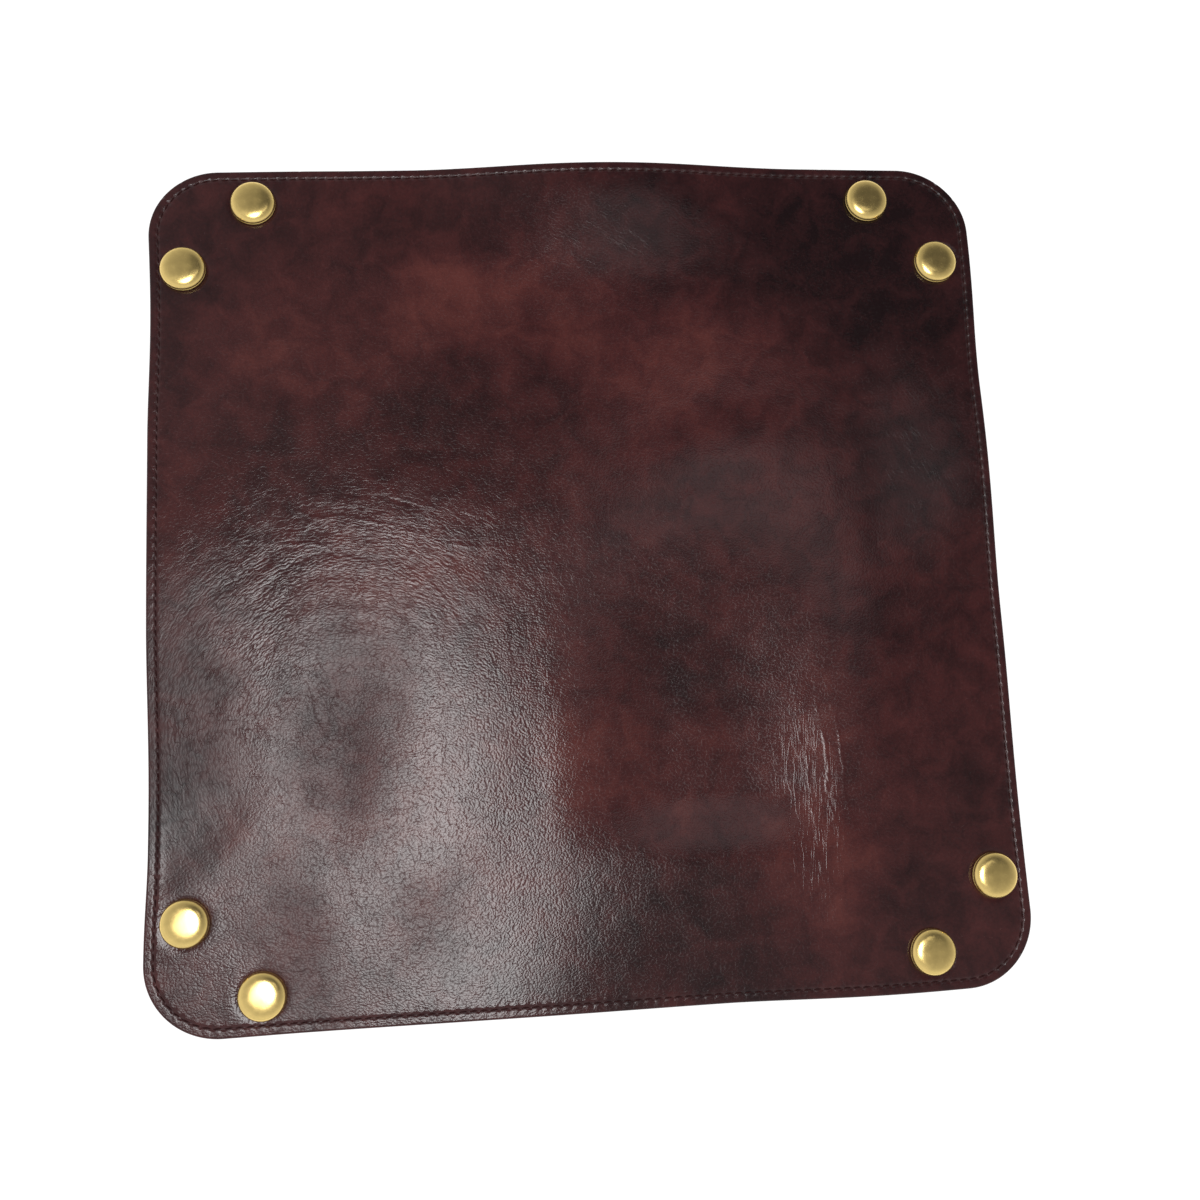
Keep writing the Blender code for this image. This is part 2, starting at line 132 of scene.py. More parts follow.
# Mesh steps
LEATHER_STEP = 1.25 * MM
FINE_STEP = 0.55 * MM
FINE_REACH = 2.6 * MM
LINING_STEP = 2.5 * MM
HIDDEN_STEP = 7 * MM
OUTLINE_STEP = 0.8 * MM
CUT_OVERRUN = 2 * MM
MERGE_DISTANCE = 0.01 * MM
NORMAL_STEP = 0.12 * MM
LEATHER_RINGS = [inset * MM for inset in (0, 0.12, 0.35, 0.7, 1.3, 1.9, 2.35, 2.7, 3.0, 3.3, 3.65, 4.1)]
LINING_RINGS = [inset * MM for inset in (0, 0.3, 0.8, 1.6, 2.4, 2.7, 3.0, 3.3, 3.6, 4.4)]
SNAP_RINGS = [radius * MM for radius in (7.0, 7.7, 8.4, 9.2, 10.2)]
SNAP_RING_POINTS = 48
NOISE_CELLS = 64

# The edge and its seam
EDGE_ROUND = 0.5 * MM
SEAM_INSET = 3.0 * MM
STITCH_PITCH = 3.2 * MM
STITCH_SHARE = 0.86  # of the pitch, that a stitch covers
STITCH_SLANT = 0.22 * MM
GROOVE_DEPTH = 0.16 * MM
GROOVE_WIDTH = 0.45 * MM
HOLE_DEPTH = 0.22 * MM
HOLE_WIDTH = 0.45 * MM
PUCKER_HEIGHT = 0.04 * MM
THREAD_RADIUS = 0.24 * MM

# Rolls at the corners and along the creases
ROLL_RADIUS = 2.45 * MM
ROLL_FLOOR = 0.4 * MM  # clear over the lining's face
ROLL_REACH = 7.5 * MM
ROLL_START_GAP = 1.5 * MM
ROLL_END_GAP = 1.2 * MM
ROLL_TURN = 85  # degrees

# Snap caps
CAP_RADIUS = 7.5 * MM
CAP_RIM_HEIGHT = 0.9 * MM
CAP_RIM_DROP = 0.35 * MM  # how far the rim reaches below the frame's, into the pressed leather
CAP_DOME_RADIUS = 7.4 * MM  # a little wider than in the frame, where the rim stands clear of the dome
CAP_DOME_HEIGHT = 2.3 * MM
CAP_TOP = CAP_RIM_HEIGHT + CAP_DOME_HEIGHT
CAP_CROWN = 0.12  # of the dome's height, lost by its shoulder
POST_RADIUS = 1.9 * MM
CLINCH_RADIUS = 2.6 * MM
CLINCH_THICKNESS = 0.4 * MM
CLINCH_INSETS = [inset * MM for inset in (0.1, 0.3, 0.9, 1.3)]  # of its upper edge and its rolled lip
CAP_UNDERSIDE = 0.05 * MM
HOLE_RADIUS = 2.2 * MM
TURN_STEPS = 72
SHARP_ANGLE = 38  # degrees

# The leather round a cap: the pressed part and the low ring outside it, with their reach past the cap
DENT_DEPTH = 0.22 * MM
DENT_REACH = 1.2 * MM
DENT_SLOPE = 2.2 * MM
RING_HEIGHT = 0.03 * MM
RING_REACH = 2.6 * MM
RING_WIDTH = 1.6 * MM

# Snap halves under the lining
SOCKET_RADIUS = 6.3 * MM
SOCKET_FLOOR = 0.6 * MM
SOCKET_BORE_RADIUS = 3.45 * MM
SOCKET_MOUTH_RADIUS = 4.2 * MM
SOCKET_ROUND = 0.6 * MM
SOCKET_RING_DEPTH = 0.15 * MM
SPRING_GROOVE_DEPTH = 0.5 * MM
GROOVE_HEIGHT = 0.9 * MM
GROOVE_LIP = 0.3 * MM
STUD_RADIUS = 6.0 * MM
STUD_NECK_RADIUS = 2.65 * MM
STUD_NECK_FILL = 0.1 * MM
STUD_HEAD_RADIUS = 3.0 * MM
STUD_WAIST = 0.22  # of the stem, above the head

# Stage, camera and lights: each light's place, size, radiance and turn
PLINTH_SIDE = 150 * MM
PLINTH_GAP = 0.2 * MM
PLINTH_BEVEL = 3 * MM
FLOOR_LEVEL = -60 * MM
CAMERA_PLACE = (-0.0410, -0.0775, 0.4288)
CAMERA_TURN = (0.1630, -0.0982, -0.0527)
CAMERA_LENS = 39.37
SOFTBOXES = {
    "key": ((-0.138, -0.09, 1.5), (0.38, 0.64), 12.5, 0.06),
    "corner": ((-0.42, -0.22, 1.5), (0.18, 0.34), 4.0, 0.0),
    "fill": ((0.38, 0.34, 1.5), (0.38, 0.34), 0.85, 0.0),
}
SKY_LEVELS = ((0.20, 0.80), (0.70, 0.46), (0.88, 0.34), (0.935, 0.18))
SKY_TOP = (0.98, (0.10, 0.10, 0.11))
SKY_TOP_WAY = (0.29, 0.37, 0.88)


# The sheet's shape

def ease(share):
    held = np.clip(share, 0, 1)
    return held * held * (3 - 2 * held)


def mound(along, across=0):
    inside = np.clip(1 - along * along - across * across, 0, None)
    return inside * inside


def bell(away, width):
    return np.exp(-((away / width) ** 2))


def next_side(side, step=1):
    return SIDES[(SIDES.index(side) + step) % len(SIDES)]


def to_side(x, y, side):
    """A place in the frame of one side, turned so that the side is at the front."""
    for _ in range(SIDES.index(side)):
        x, y = y, -x
    return x, y


def from_side(x, y, side):
    for _ in range(SIDES.index(side)):
        x, y = -y, x
    return x, y


def noise(x, y, size, seed):
    """Smooth value noise from -1 to 1 with features of this size."""
    cells = NOISE_CELLS
    table = np.random.default_rng(seed).uniform(-1, 1, (cells, cells))
    u, v = x / size + cells / 2, y / size + cells / 2
    i, j = np.floor(u).astype(int), np.floor(v).astype(int)
    a, b = ease(u - i), ease(v - j)
    near, far = (table[i % cells, (j + row) % cells] * (1 - a) + table[(i + 1) % cells, (j + row) % cells] * a
                 for row in (0, 1))
    return near * (1 - b) + far * b


def layered(x, y, layers):
    """Layers of noise, each with its rise, feature size and seed."""
    return sum(rise * noise(x, y, size, seed) for rise, size, seed in layers)


def bent(x, y, move, size, seed):
    """Places moved about by noise, for shapes that look grown."""
    return x + move * noise(x, y, size, seed), y + move * noise(x, y, size, seed + 1)


def band(far, start, rise, end, fall):
    """From 0 at the start up to 1, and back to 0 at the end."""
    return ease((far - start) / rise) * ease((end - far) / fall)


def inset_of(x, y):
    """How far inside the sheet's outline a place is."""
    past_x, past_y = np.abs(x) - ARC_CENTRE, np.abs(y) - ARC_CENTRE
    outside = np.hypot(np.maximum(past_x, 0), np.maximum(past_y, 0))
    return CORNER_RADIUS - outside - np.minimum(np.maximum(past_x, past_y), 0)


def bumps_of(x, y, shares):
    """The summed rises of oval mounds."""
    total = 0
    for x_share, y_share, length_share, width_share, turn_share, rise in shares:
        away_x, away_y = x - x_share * HALF_SIDE, y - y_share * HALF_SIDE
        turn = turn_share * math.pi
        along = away_x * math.cos(turn) + away_y * math.sin(turn)
        across = away_y * math.cos(turn) - away_x * math.sin(turn)
        total = total + rise * mound(along / (length_share * HALF_SIDE), across / (width_share * HALF_SIDE))
    return total


def edge_bump(x, y, side, middle_share, length_share):
    """From 0 at a side's fold line to 1 on its outer edge, at the bump's middle."""
    side_x, side_y = to_side(x, y, side)
    outward = ease((-side_y - FOLD_PLACE) / WALL_HEIGHT)
    return outward * mound((side_x - middle_share * HALF_SIDE) / (length_share * HALF_SIDE))


def sag_share(x, y):
    """How far the base sags towards the table, from 0 to 1."""
    sag = 1
    for side, (start_share, run) in SAG_SLOPES.items():
        sag = sag * ease((start_share * FOLD_PLACE + to_side(x, y, side)[1]) / run)
    return sag


def lining_height(x, y):
    """The lining's lower face over the table, as in the frame."""
    lifts = sum(EDGE_LIFT * rise * edge_bump(x, y, side, middle, length)
                for side, (middle, length, rise) in LIFT_SHARES.items())
    return LINING_LEVEL * (1 - sag_share(x, y)) + MOUND_HEIGHT * bumps_of(x, y, MOUND_SHARES) + lifts


def lying(x, y):
    """Where a place of the flat cut lies, seen from above."""
    shift_x, shift_y = 0, 0
    for side, bows in EDGE_BOWS.items():
        for middle, length, bow in bows:
            out = bow * edge_bump(x, y, side, middle, length)
            move_x, move_y = from_side(0 * out, -out, side)
            shift_x, shift_y = shift_x + move_x, shift_y + move_y
    return x + shift_x, y + shift_y


# Wrinkles of the leather

WRINKLE_CENTRE = (-77 * MM, -49 * MM)  # the arcs run round this place
ARC_WRINKLES = ((8.0 * MM, 0.026 * MM), (4.3 * MM, 0.009 * MM))  # the way from one to the next, and the rise
ARC_WRINKLE_BAND = (14 * MM, 22 * MM, 84 * MM, 30 * MM)  # start, rise, end and fall
ARC_WRINKLE_SWAY = ((5 * MM, 22 * MM, 11),)

# Slack as layers of noise: rise, feature size and seed
WIDE_SLACK = ((0.18 * MM, 46 * MM, 31), (0.05 * MM, 21 * MM, 32))
FINE_SLACK = ((0.018 * MM, 7 * MM, 41), (0.010 * MM, 3.4 * MM, 42))
SUEDE_SLACK = ((0.06 * MM, 30 * MM, 51), (0.02 * MM, 9 * MM, 52))
SUEDE_RISE = 0.08 * MM
SWELL_FADE = 30 * MM
LOOSE_FADE = 6 * MM  # in from the edge

# How the single creases sway: layers of noise along X and Y, and the move, feature size and seed of their
# fine part
CREASE_SWAY_X = ((1.0 * MM, 11 * MM, 21),)
CREASE_SWAY_Y = ((1.4 * MM, 11 * MM, 22),)
CREASE_FINE_SWAY = (0.25 * MM, 3.2 * MM, 24)
CREASE_BREAKS = 6 * MM

# Swells of the visible leather alone: centre x and y, half length and half width as shares of half the side,
# the turn of the long way as a share of a half turn, and the rise
LEATHER_SWELLS = (
    (-0.54, -0.32, 0.36, 0.20, 0.46, -0.40 * MM),
    (-0.26, -0.36, 0.42, 0.16, 0.42, 0.20 * MM),
    (-0.90, -0.56, 0.22, 0.10, 0.22, -0.40 * MM),
    (-0.30, 0.17, 0.36, 0.15, -0.04, -0.60 * MM),
    (-0.10, 0.76, 0.55, 0.16, 0.00, 0.60 * MM),
)

# Single creases: points as shares of half the side, the width, and the rise, which is negative in a valley
CREASES = (
    (((-0.80, 0.24), (-0.62, 0.15), (-0.44, 0.12), (-0.28, 0.07), (-0.08, 0.06)), 0.7 * MM, 0.05 * MM),
    (((-0.74, 0.27), (-0.58, 0.20), (-0.46, 0.19), (-0.30, 0.14), (-0.16, 0.12)), 0.6 * MM, -0.04 * MM),
    (((-0.88, 0.12), (-0.62, 0.08), (-0.36, -0.02)), 0.7 * MM, 0.05 * MM),
    (((-0.60, 0.20), (-0.44, 0.10), (-0.34, -0.04), (-0.28, -0.16)), 0.6 * MM, 0.025 * MM),
    (((0.00, 0.03), (0.22, 0.15), (0.36, 0.27), (0.50, 0.33)), 0.8 * MM, 0.05 * MM),
    (((0.485, -0.36), (0.50, -0.58), (0.53, -0.86)), 0.55 * MM, 0.07 * MM),
    (((0.530, -0.30), (0.54, -0.50), (0.565, -0.82)), 0.50 * MM, 0.09 * MM),
    (((0.560, -0.24), (0.575, -0.44), (0.59, -0.66)), 0.55 * MM, 0.05 * MM),
    (((-0.66, -0.20), (-0.60, -0.36), (-0.62, -0.54)), 0.8 * MM, -0.07 * MM),
    (((-0.52, -0.22), (-0.42, -0.40), (-0.22, -0.52)), 0.7 * MM, -0.05 * MM),
    (((-0.70, -0.46), (-0.56, -0.66), (-0.50, -0.86)), 0.8 * MM, 0.05 * MM),
)


def from_polyline(x, y, points):
    """The distance to a line through these points, and the share of the way along it."""
    best = np.full(np.shape(x), np.inf)
    where = np.zeros(np.shape(x))
    for step in range(len(points) - 1):
        start = np.array(points[step]) * HALF_SIDE
        run = np.array(points[step + 1]) * HALF_SIDE - start
        share = np.clip(((x - start[0]) * run[0] + (y - start[1]) * run[1]) / (run @ run), 0, 1)
        far = np.hypot(x - start[0] - share * run[0], y - start[1] - share * run[1])
        where = np.where(far < best, (step + share) / (len(points) - 1), where)
        best = np.minimum(best, far)
    return best, where


def arc_wrinkles(x, y):
    away_x, away_y = x - WRINKLE_CENTRE[0], y - WRINKLE_CENTRE[1]
    radius = np.hypot(away_x, away_y) + layered(x, y, ARC_WRINKLE_SWAY)
    facing = ease(0.30 + 0.8 * np.sin(np.arctan2(away_y, away_x) - 0.25 * math.pi))
    rise = 0
    for number, (pitch, height) in enumerate(ARC_WRINKLES):
        drift = 2.2 * noise(x, y, 3.2 * pitch, 14 + number)
        patchy = ease(0.40 + noise(x, y, 2.4 * pitch, 12 + number))
        wave = np.sin(2 * math.pi * radius / pitch + drift)
        rise = rise + height * patchy * (wave - 0.35 * wave * wave)
    return rise * band(radius, *ARC_WRINKLE_BAND) * facing


def creases(x, y):
    bent_x, bent_y = bent(x, y, *CREASE_FINE_SWAY)
    bent_x = bent_x + layered(x, y, CREASE_SWAY_X)
    bent_y = bent_y + layered(x, y, CREASE_SWAY_Y)
    broken = ease(0.62 + noise(x, y, CREASE_BREAKS, 23))
    rise = 0
    for points, width, height in CREASES:
        far, where = from_polyline(bent_x, bent_y, points)
        fade = np.clip(4 * where * (1 - where), 0, 1)
        rise = rise + height * fade * broken * bell(far, width)
    return rise


def swells(x, y):
    """Slack in the leather that is wider than a wrinkle."""
    inside = ease((FOLD_PLACE + SWELL_FADE / 2 - np.maximum(np.abs(x), np.abs(y))) / SWELL_FADE)
    return layered(x, y, WIDE_SLACK) * (0.35 + 0.65 * inside) + bumps_of(x, y, LEATHER_SWELLS)


# The seam

STRAIGHT = 2 * ARC_CENTRE
SEAM_RADIUS = CORNER_RADIUS - SEAM_INSET
SEAM_QUARTER = STRAIGHT + SEAM_RADIUS * math.pi / 2
SEAM_LENGTH = len(SIDES) * SEAM_QUARTER
STITCHES = round(SEAM_LENGTH / STITCH_PITCH)
PITCH = SEAM_LENGTH / STITCHES


def along_seam(x, y):
    """How far along the seam the nearest place on it is."""
    run = np.zeros(np.shape(x))
    for number, side in enumerate(SIDES):
        side_x, side_y = to_side(x, y, side)
        start = number * SEAM_QUARTER
        straight = (np.abs(side_x) <= ARC_CENTRE) & (-side_y >= np.abs(side_x))
        run = np.where(straight, start + side_x + ARC_CENTRE, run)
        corner = (side_x > ARC_CENTRE) & (side_y < -ARC_CENTRE)
        angle = np.arctan2(side_x - ARC_CENTRE, -side_y - ARC_CENTRE)
        run = np.where(corner, start + STRAIGHT + angle * SEAM_RADIUS, run)
    return run


def seam_point(run, inset):
    """The flat place at this run along the seam, and this far in from the outline."""
    number, rest = divmod(run % SEAM_LENGTH, SEAM_QUARTER)
    side = SIDES[int(number)]
    if rest <= STRAIGHT:
        return from_side(rest - ARC_CENTRE, inset - HALF_SIDE, side)
    angle = (rest - STRAIGHT) / SEAM_RADIUS
    reach = CORNER_RADIUS - inset
    return from_side(ARC_CENTRE + reach * math.sin(angle), -ARC_CENTRE - reach * math.cos(angle), side)


def seam_relief(x, y):
    from_seam = inset_of(x, y) - SEAM_INSET
    from_hole = (along_seam(x, y) + PITCH / 2) % PITCH - PITCH / 2
    hole = HOLE_DEPTH * bell(from_hole, HOLE_WIDTH) * bell(from_seam, HOLE_WIDTH)
    pucker = PUCKER_HEIGHT * bell(from_seam, 3 * GROOVE_WIDTH) * np.cos(2 * math.pi * from_hole / PITCH)
    return -GROOVE_DEPTH * bell(from_seam, GROOVE_WIDTH) - hole - pucker


def edge_rounding(x, y):
    from_edge = np.clip(inset_of(x, y), 0, EDGE_ROUND)
    return np.sqrt(np.maximum(EDGE_ROUND**2 - (EDGE_ROUND - from_edge) ** 2, 0)) - EDGE_ROUND


def snap_places():
    """Each ear's name, its flat place, and whether it holds a socket or a stud."""
    places = []
    for side in SIDES:
        for end, half in ((1, "socket"), (-1, "stud")):
            x, y = from_side(end * (HALF_SIDE - SNAP_ALONG), -HALF_SIDE + SNAP_INSET, side)
            places.append((side + "_" + next_side(side, end), x, y, half))
    return places


SNAPS = snap_places()


def snap_dents(x, y):
    """Under a cap the leather is pressed down, with a low ring of it raised round the rim."""
    rise = 0
    for _, snap_x, snap_y, _ in SNAPS:
        far = np.hypot(x - snap_x, y - snap_y)
        pressed = DENT_DEPTH * ease((CAP_RADIUS + DENT_REACH - far) / DENT_SLOPE)
        rise = rise - pressed + RING_HEIGHT * bell(far - CAP_RADIUS - RING_REACH, RING_WIDTH)
    return rise


def leather_height(x, y):
    """The leather's upper face."""
    loose = swells(x, y) + arc_wrinkles(x, y) + creases(x, y) + layered(x, y, FINE_SLACK)
    bridged = SAG_BRIDGED * LINING_LEVEL * sag_share(x, y)
    level = lining_height(x, y) + SHEET_THICKNESS + bridged + loose * ease(inset_of(x, y) / LOOSE_FADE)
    return level + snap_dents(x, y) + seam_relief(x, y) + edge_rounding(x, y)


def leather_underside(x, y):
    return lining_height(x, y) + LINING_THICKNESS + LAYER_GAP


def lining_face(x, y):
    """The lining's lower face, which is suede."""
    soft = SUEDE_RISE + layered(x, y, SUEDE_SLACK)
    return lining_height(x, y) + soft - 0.6 * seam_relief(x, y) - 0.8 * edge_rounding(x, y)


def lining_back(x, y):
    return lining_height(x, y) + LINING_THICKNESS


def upward(height, x, y):
    """The unit normals of a height over the sheet."""
    slope_x = (height(x + NORMAL_STEP, y) - height(x - NORMAL_STEP, y)) / (2 * NORMAL_STEP)
    slope_y = (height(x, y + NORMAL_STEP) - height(x, y - NORMAL_STEP)) / (2 * NORMAL_STEP)
    normals = np.stack([-slope_x, -slope_y, np.ones(len(x))], axis=1)
    return normals / np.linalg.norm(normals, axis=1)[:, None]


# Which body each place of the sheet rides on

def body_names():
    names = ["base"]
    for side in SIDES:
        after, before = next_side(side), next_side(side, -1)
        names += ["wall_" + side, f"ear_{side}_{after}", f"ear_{side}_{before}", f"crease_{side}_{after}"]
    return names


BODIES = body_names()


def bodies_at(x, y):
    """The number of the body at each place; a bend belongs to the body that turns."""
    found = np.zeros(len(x), int)
    for number, side in enumerate(SIDES):
        side_x, side_y = to_side(x, y, side)
        first = 1 + 4 * number
        past_fold = side_y < -FOLD_PLACE
        right = (side_x + side_y) / ROOT_2
        left = (-side_x + side_y) / ROOT_2
        wall = (side_y < -FOLD_PLACE + WALL_BEND) & (np.abs(side_x) < EAR_START)
        found = np.where(wall, first, found)
        found = np.where(past_fold & (side_x > EAR_START) & (right < CREASE_START), first + 1, found)
        found = np.where(past_fold & (side_x < -EAR_START) & (left < -CREASE_WIDTH / 2), first + 2, found)
        off_base = past_fold | (side_x > FOLD_PLACE) | (side_x - side_y > CORNER_PLACE + FOLD_PLACE)
        strip = (right > CREASE_START) & (right < CREASE_WIDTH / 2) & (side_x > 0) & (side_y < 0)
        found = np.where(strip & off_base, first + 3, found)
    return found


def cut_lines():
    """The straight cuts between the bodies' pieces, as pairs of points."""
    over = HALF_SIDE + CUT_OVERRUN
    start = CREASE_START * ROOT_2
    loose = CREASE_WIDTH / ROOT_2
    bend = -FOLD_PLACE + WALL_BEND
    drawn = (
        ((-EAR_START, bend), (EAR_START, bend)),
        ((EAR_START, bend), (EAR_START, -over)),
        ((-EAR_START, bend), (-EAR_START, -over)),
        ((EAR_START, -FOLD_PLACE), (CORNER_PLACE, -FOLD_PLACE)),
        ((-EAR_START, -FOLD_PLACE), (-CORNER_PLACE, -FOLD_PLACE)),
        ((CORNER_PLACE, -FOLD_PLACE), (FOLD_PLACE, -CORNER_PLACE)),
        ((FOLD_PLACE + start, -FOLD_PLACE), (over + start / 2, -over + start / 2)),
        ((FOLD_PLACE, -CORNER_PLACE), (over + loose / 2, -over + loose / 2)),
    )
    return [(np.array(from_side(*a, side)), np.array(from_side(*b, side)))
            for side in SIDES for a, b in drawn]


CUTS = cut_lines()


def outline_stations():
    """Points of the arc centres' square and the ways out from them, all round the sheet."""
    feet, ways = [], []
    straight = np.linspace(-ARC_CENTRE, ARC_CENTRE, round(STRAIGHT / OUTLINE_STEP), endpoint=False)
    turns = np.linspace(0, math.pi / 2, round(CORNER_RADIUS * math.pi / 2 / OUTLINE_STEP), endpoint=False)
    for side in SIDES:
        for x in straight:
            feet.append(from_side(x, -ARC_CENTRE, side))
            ways.append(from_side(0, -1, side))
        for turn in turns:
            feet.append(from_side(ARC_CENTRE, -ARC_CENTRE, side))
            ways.append(from_side(math.sin(turn), -math.cos(turn), side))
    return np.array(feet), np.array(ways)


def from_cuts(points):
    """How far each point is from the nearest cut."""
    best = np.full(len(points), np.inf)
    for a, b in CUTS:
        run = b - a
        share = np.clip((points - a) @ run / (run @ run), 0, 1)
        best = np.minimum(best, np.linalg.norm(points - a - share[:, None] * run, axis=1))
    return best


def flat_grid(reach, step):
    """A square grid of points round the middle, this many steps to each side."""
    ticks = np.arange(-reach, reach + 1) * step
    return np.stack(np.meshgrid(ticks, ticks), axis=-1).reshape(-1, 2)


def triangulated(points, edges, outline):
    """The points, counterclockwise faces and origins of triangles in an outline that keep these edges."""
    flat = [Vector(point / MM) for point in points]
    made = delaunay_2d_cdt(flat, edges, [outline], 1, 0.0001)
    places = np.array([vert[:] for vert in made[0]]) * MM
    faces = np.array([face[:] for face in made[2]])
    a, b, c = places[faces[:, 0]], places[faces[:, 1]], places[faces[:, 2]]
    turn = (b[:, 0] - a[:, 0]) * (c[:, 1] - a[:, 1]) - (b[:, 1] - a[:, 1]) * (c[:, 0] - a[:, 0])
    faces[turn < 0] = faces[turn < 0][:, ::-1]
    return places, faces, made[3]


def crease_points():
    """A fine grid along the creases, so that they keep their shape."""
    grid = flat_grid(math.floor(FOLD_PLACE / FINE_STEP), FINE_STEP) + 0.37 * FINE_STEP
    near = np.full(len(grid), np.inf)
    for points, _, _ in CREASES:
        near = np.minimum(near, from_polyline(*grid.T, points)[0])
    return grid[near < FINE_REACH]


def sheet_mesh(step, rings):
    """The whole flat sheet as triangles, with edges along every cut."""
    feet, ways = outline_stations()
    points = [feet + ways * (CORNER_RADIUS - inset) for inset in rings]
    outline = list(range(len(feet)))
    edges = [(i, (i + 1) % len(feet)) for i in outline]
    grid = flat_grid(math.floor(HALF_SIDE / step), step)
    points.append(grid[inset_of(*grid.T) > rings[-1] + 0.6 * step])
    turns = np.arange(SNAP_RING_POINTS) * 2 * math.pi / SNAP_RING_POINTS
    for _, x, y, _ in SNAPS:
        for radius in SNAP_RINGS:
            points.append(np.stack([x + radius * np.cos(turns), y + radius * np.sin(turns)], axis=1))
    if step == LEATHER_STEP:
        points.append(crease_points())
    for number in range(1, len(points)):
        here = points[number]
        points[number] = here[(from_cuts(here) > 0.3 * step) & (inset_of(*here.T) > rings[1] / 2)]
    total = sum(len(part) for part in points)
    for a, b in CUTS:
        parts = max(1, round(np.linalg.norm(b - a) / step))
        points.append(a + (b - a) * np.linspace(0, 1, parts + 1)[:, None])
        edges += [(total + part, total + part + 1) for part in range(parts)]
        total += parts + 1
    return triangulated(np.concatenate(points), edges, outline)[:2]


def boundary_loops(faces):
    """The loops of edges that only one face uses, in the faces' direction."""
    edges = np.concatenate([faces[:, [0, 1]], faces[:, [1, 2]], faces[:, [2, 0]]])
    used = set(map(tuple, edges.tolist()))
    after = {a: b for a, b in used if (b, a) not in used}
    loops = []
    while after:
        start, here = after.popitem()
        loop = [start]
        while here != start:
            loop.append(here)
            here = after.pop(here)
        loops.append(loop)
    return loops


def linked(name, data, place=(0, 0, 0)):
    obj = bpy.data.objects.new(name, data)
    bpy.context.scene.collection.objects.link(obj)
    obj.location = place
    return obj


def mesh_object(name, verts, faces, materials, attributes=None, loop_normals=None):
    """A smooth mesh; its attributes are rows of three numbers or single numbers, one a point."""
    mesh = bpy.data.meshes.new(name)
    mesh.from_pydata(np.asarray(verts).tolist(), [], faces)
    mesh.shade_smooth()
    for key, values in (attributes or {}).items():
        values = np.asarray(values, np.float32)
        kind, field = ("FLOAT_VECTOR", "vector") if values.ndim == 2 else ("FLOAT", "value")
        mesh.attributes.new(key, kind, "POINT").data.foreach_set(field, values.ravel())
    if loop_normals is not None:
        mesh.normals_split_custom_set(loop_normals.tolist())
    for material in materials:
        mesh.materials.append(material)
    return linked(name, mesh)


def sheet_piece(name, flat, faces, face_height, back_height, sign, materials):
    """A closed stretch of a layer, its visible face up (sign 1) or down (sign -1), with its back and rim."""
    used, faces = np.unique(faces, return_inverse=True)
    faces = faces.reshape(-1, 3)
    flat = flat[used]
    count = len(flat)
    loop = np.array(max(boundary_loops(faces), key=len))
    rim = flat[loop]
    coarse = flat_grid(20, HIDDEN_STEP)
    coarse = coarse[((coarse > rim.min(axis=0)) & (coarse < rim.max(axis=0))).all(axis=1)]
    if len(coarse):
        near = np.linalg.norm(coarse[:, None] - rim[None], axis=2).min(axis=1)
        coarse = coarse[near > 0.3 * HIDDEN_STEP]
    ring = list(range(len(loop)))
    edges = [(i, (i + 1) % len(loop)) for i in ring]
    back_flat, back_faces, origins = triangulated(np.concatenate([rim, coarse]), edges, ring)
    place_of = {start: number for number, origin in enumerate(origins) for start in origin}
    places = np.concatenate([flat, back_flat])
    z = np.concatenate([face_height(*flat.T), back_height(*back_flat.T)])
    verts = np.column_stack([*lying(*places.T), z])
    under = count + np.array([place_of[step] for step in ring])
    sides = np.stack([under, np.roll(under, -1), np.roll(loop, -1), loop], axis=1)[:, ::sign]
    front = faces[:, ::sign]
    back = back_faces[:, ::-sign]
    all_faces = front.tolist() + (back + count).tolist() + sides.tolist()
    up = upward(face_height, *flat.T) * sign
    back_up = -upward(back_height, *back_flat.T) * sign
    corners = verts[sides]
    across = np.cross(corners[:, 1] - corners[:, 0], corners[:, 2] - corners[:, 1])
    across /= np.maximum(np.linalg.norm(across, axis=1), 1e-12)[:, None]
    normals = np.concatenate([up[front.ravel()], back_up[back.ravel()], np.repeat(across, 4, axis=0)])
    attributes = {"place_mm": np.column_stack([places, z]) / MM}
    for key, shade in (("dye", dye_and_sheen_at), ("arcs", arcs_at), ("dull", dull_at), ("streak", streak_at)):
        attributes[key] = shade(*places.T)
    obj = mesh_object(name, verts, all_faces, materials, attributes, normals)
    if len(materials) > 1:
        slots = np.zeros(len(all_faces), int)
        slots[-len(sides):] = 1
        obj.data.polygons.foreach_set("material_index", slots)
    return obj


DYE_CLOUDS = ((0.10, 26 * MM, 63), (0.07, 11 * MM, 64))
DYE_BEND = (7 * MM, 14 * MM, 61)
DULL_BEND = (4 * MM, 10 * MM, 71)
GRAIN_BAND = (8 * MM, 20 * MM, 96 * MM, 40 * MM)
GRAIN_FADE = 72 * MM
STREAK_MIDDLE = (70 * MM, -82 * MM)
STREAK_REACH = (15 * MM, 48 * MM)
STREAK_LEAN = 0.06
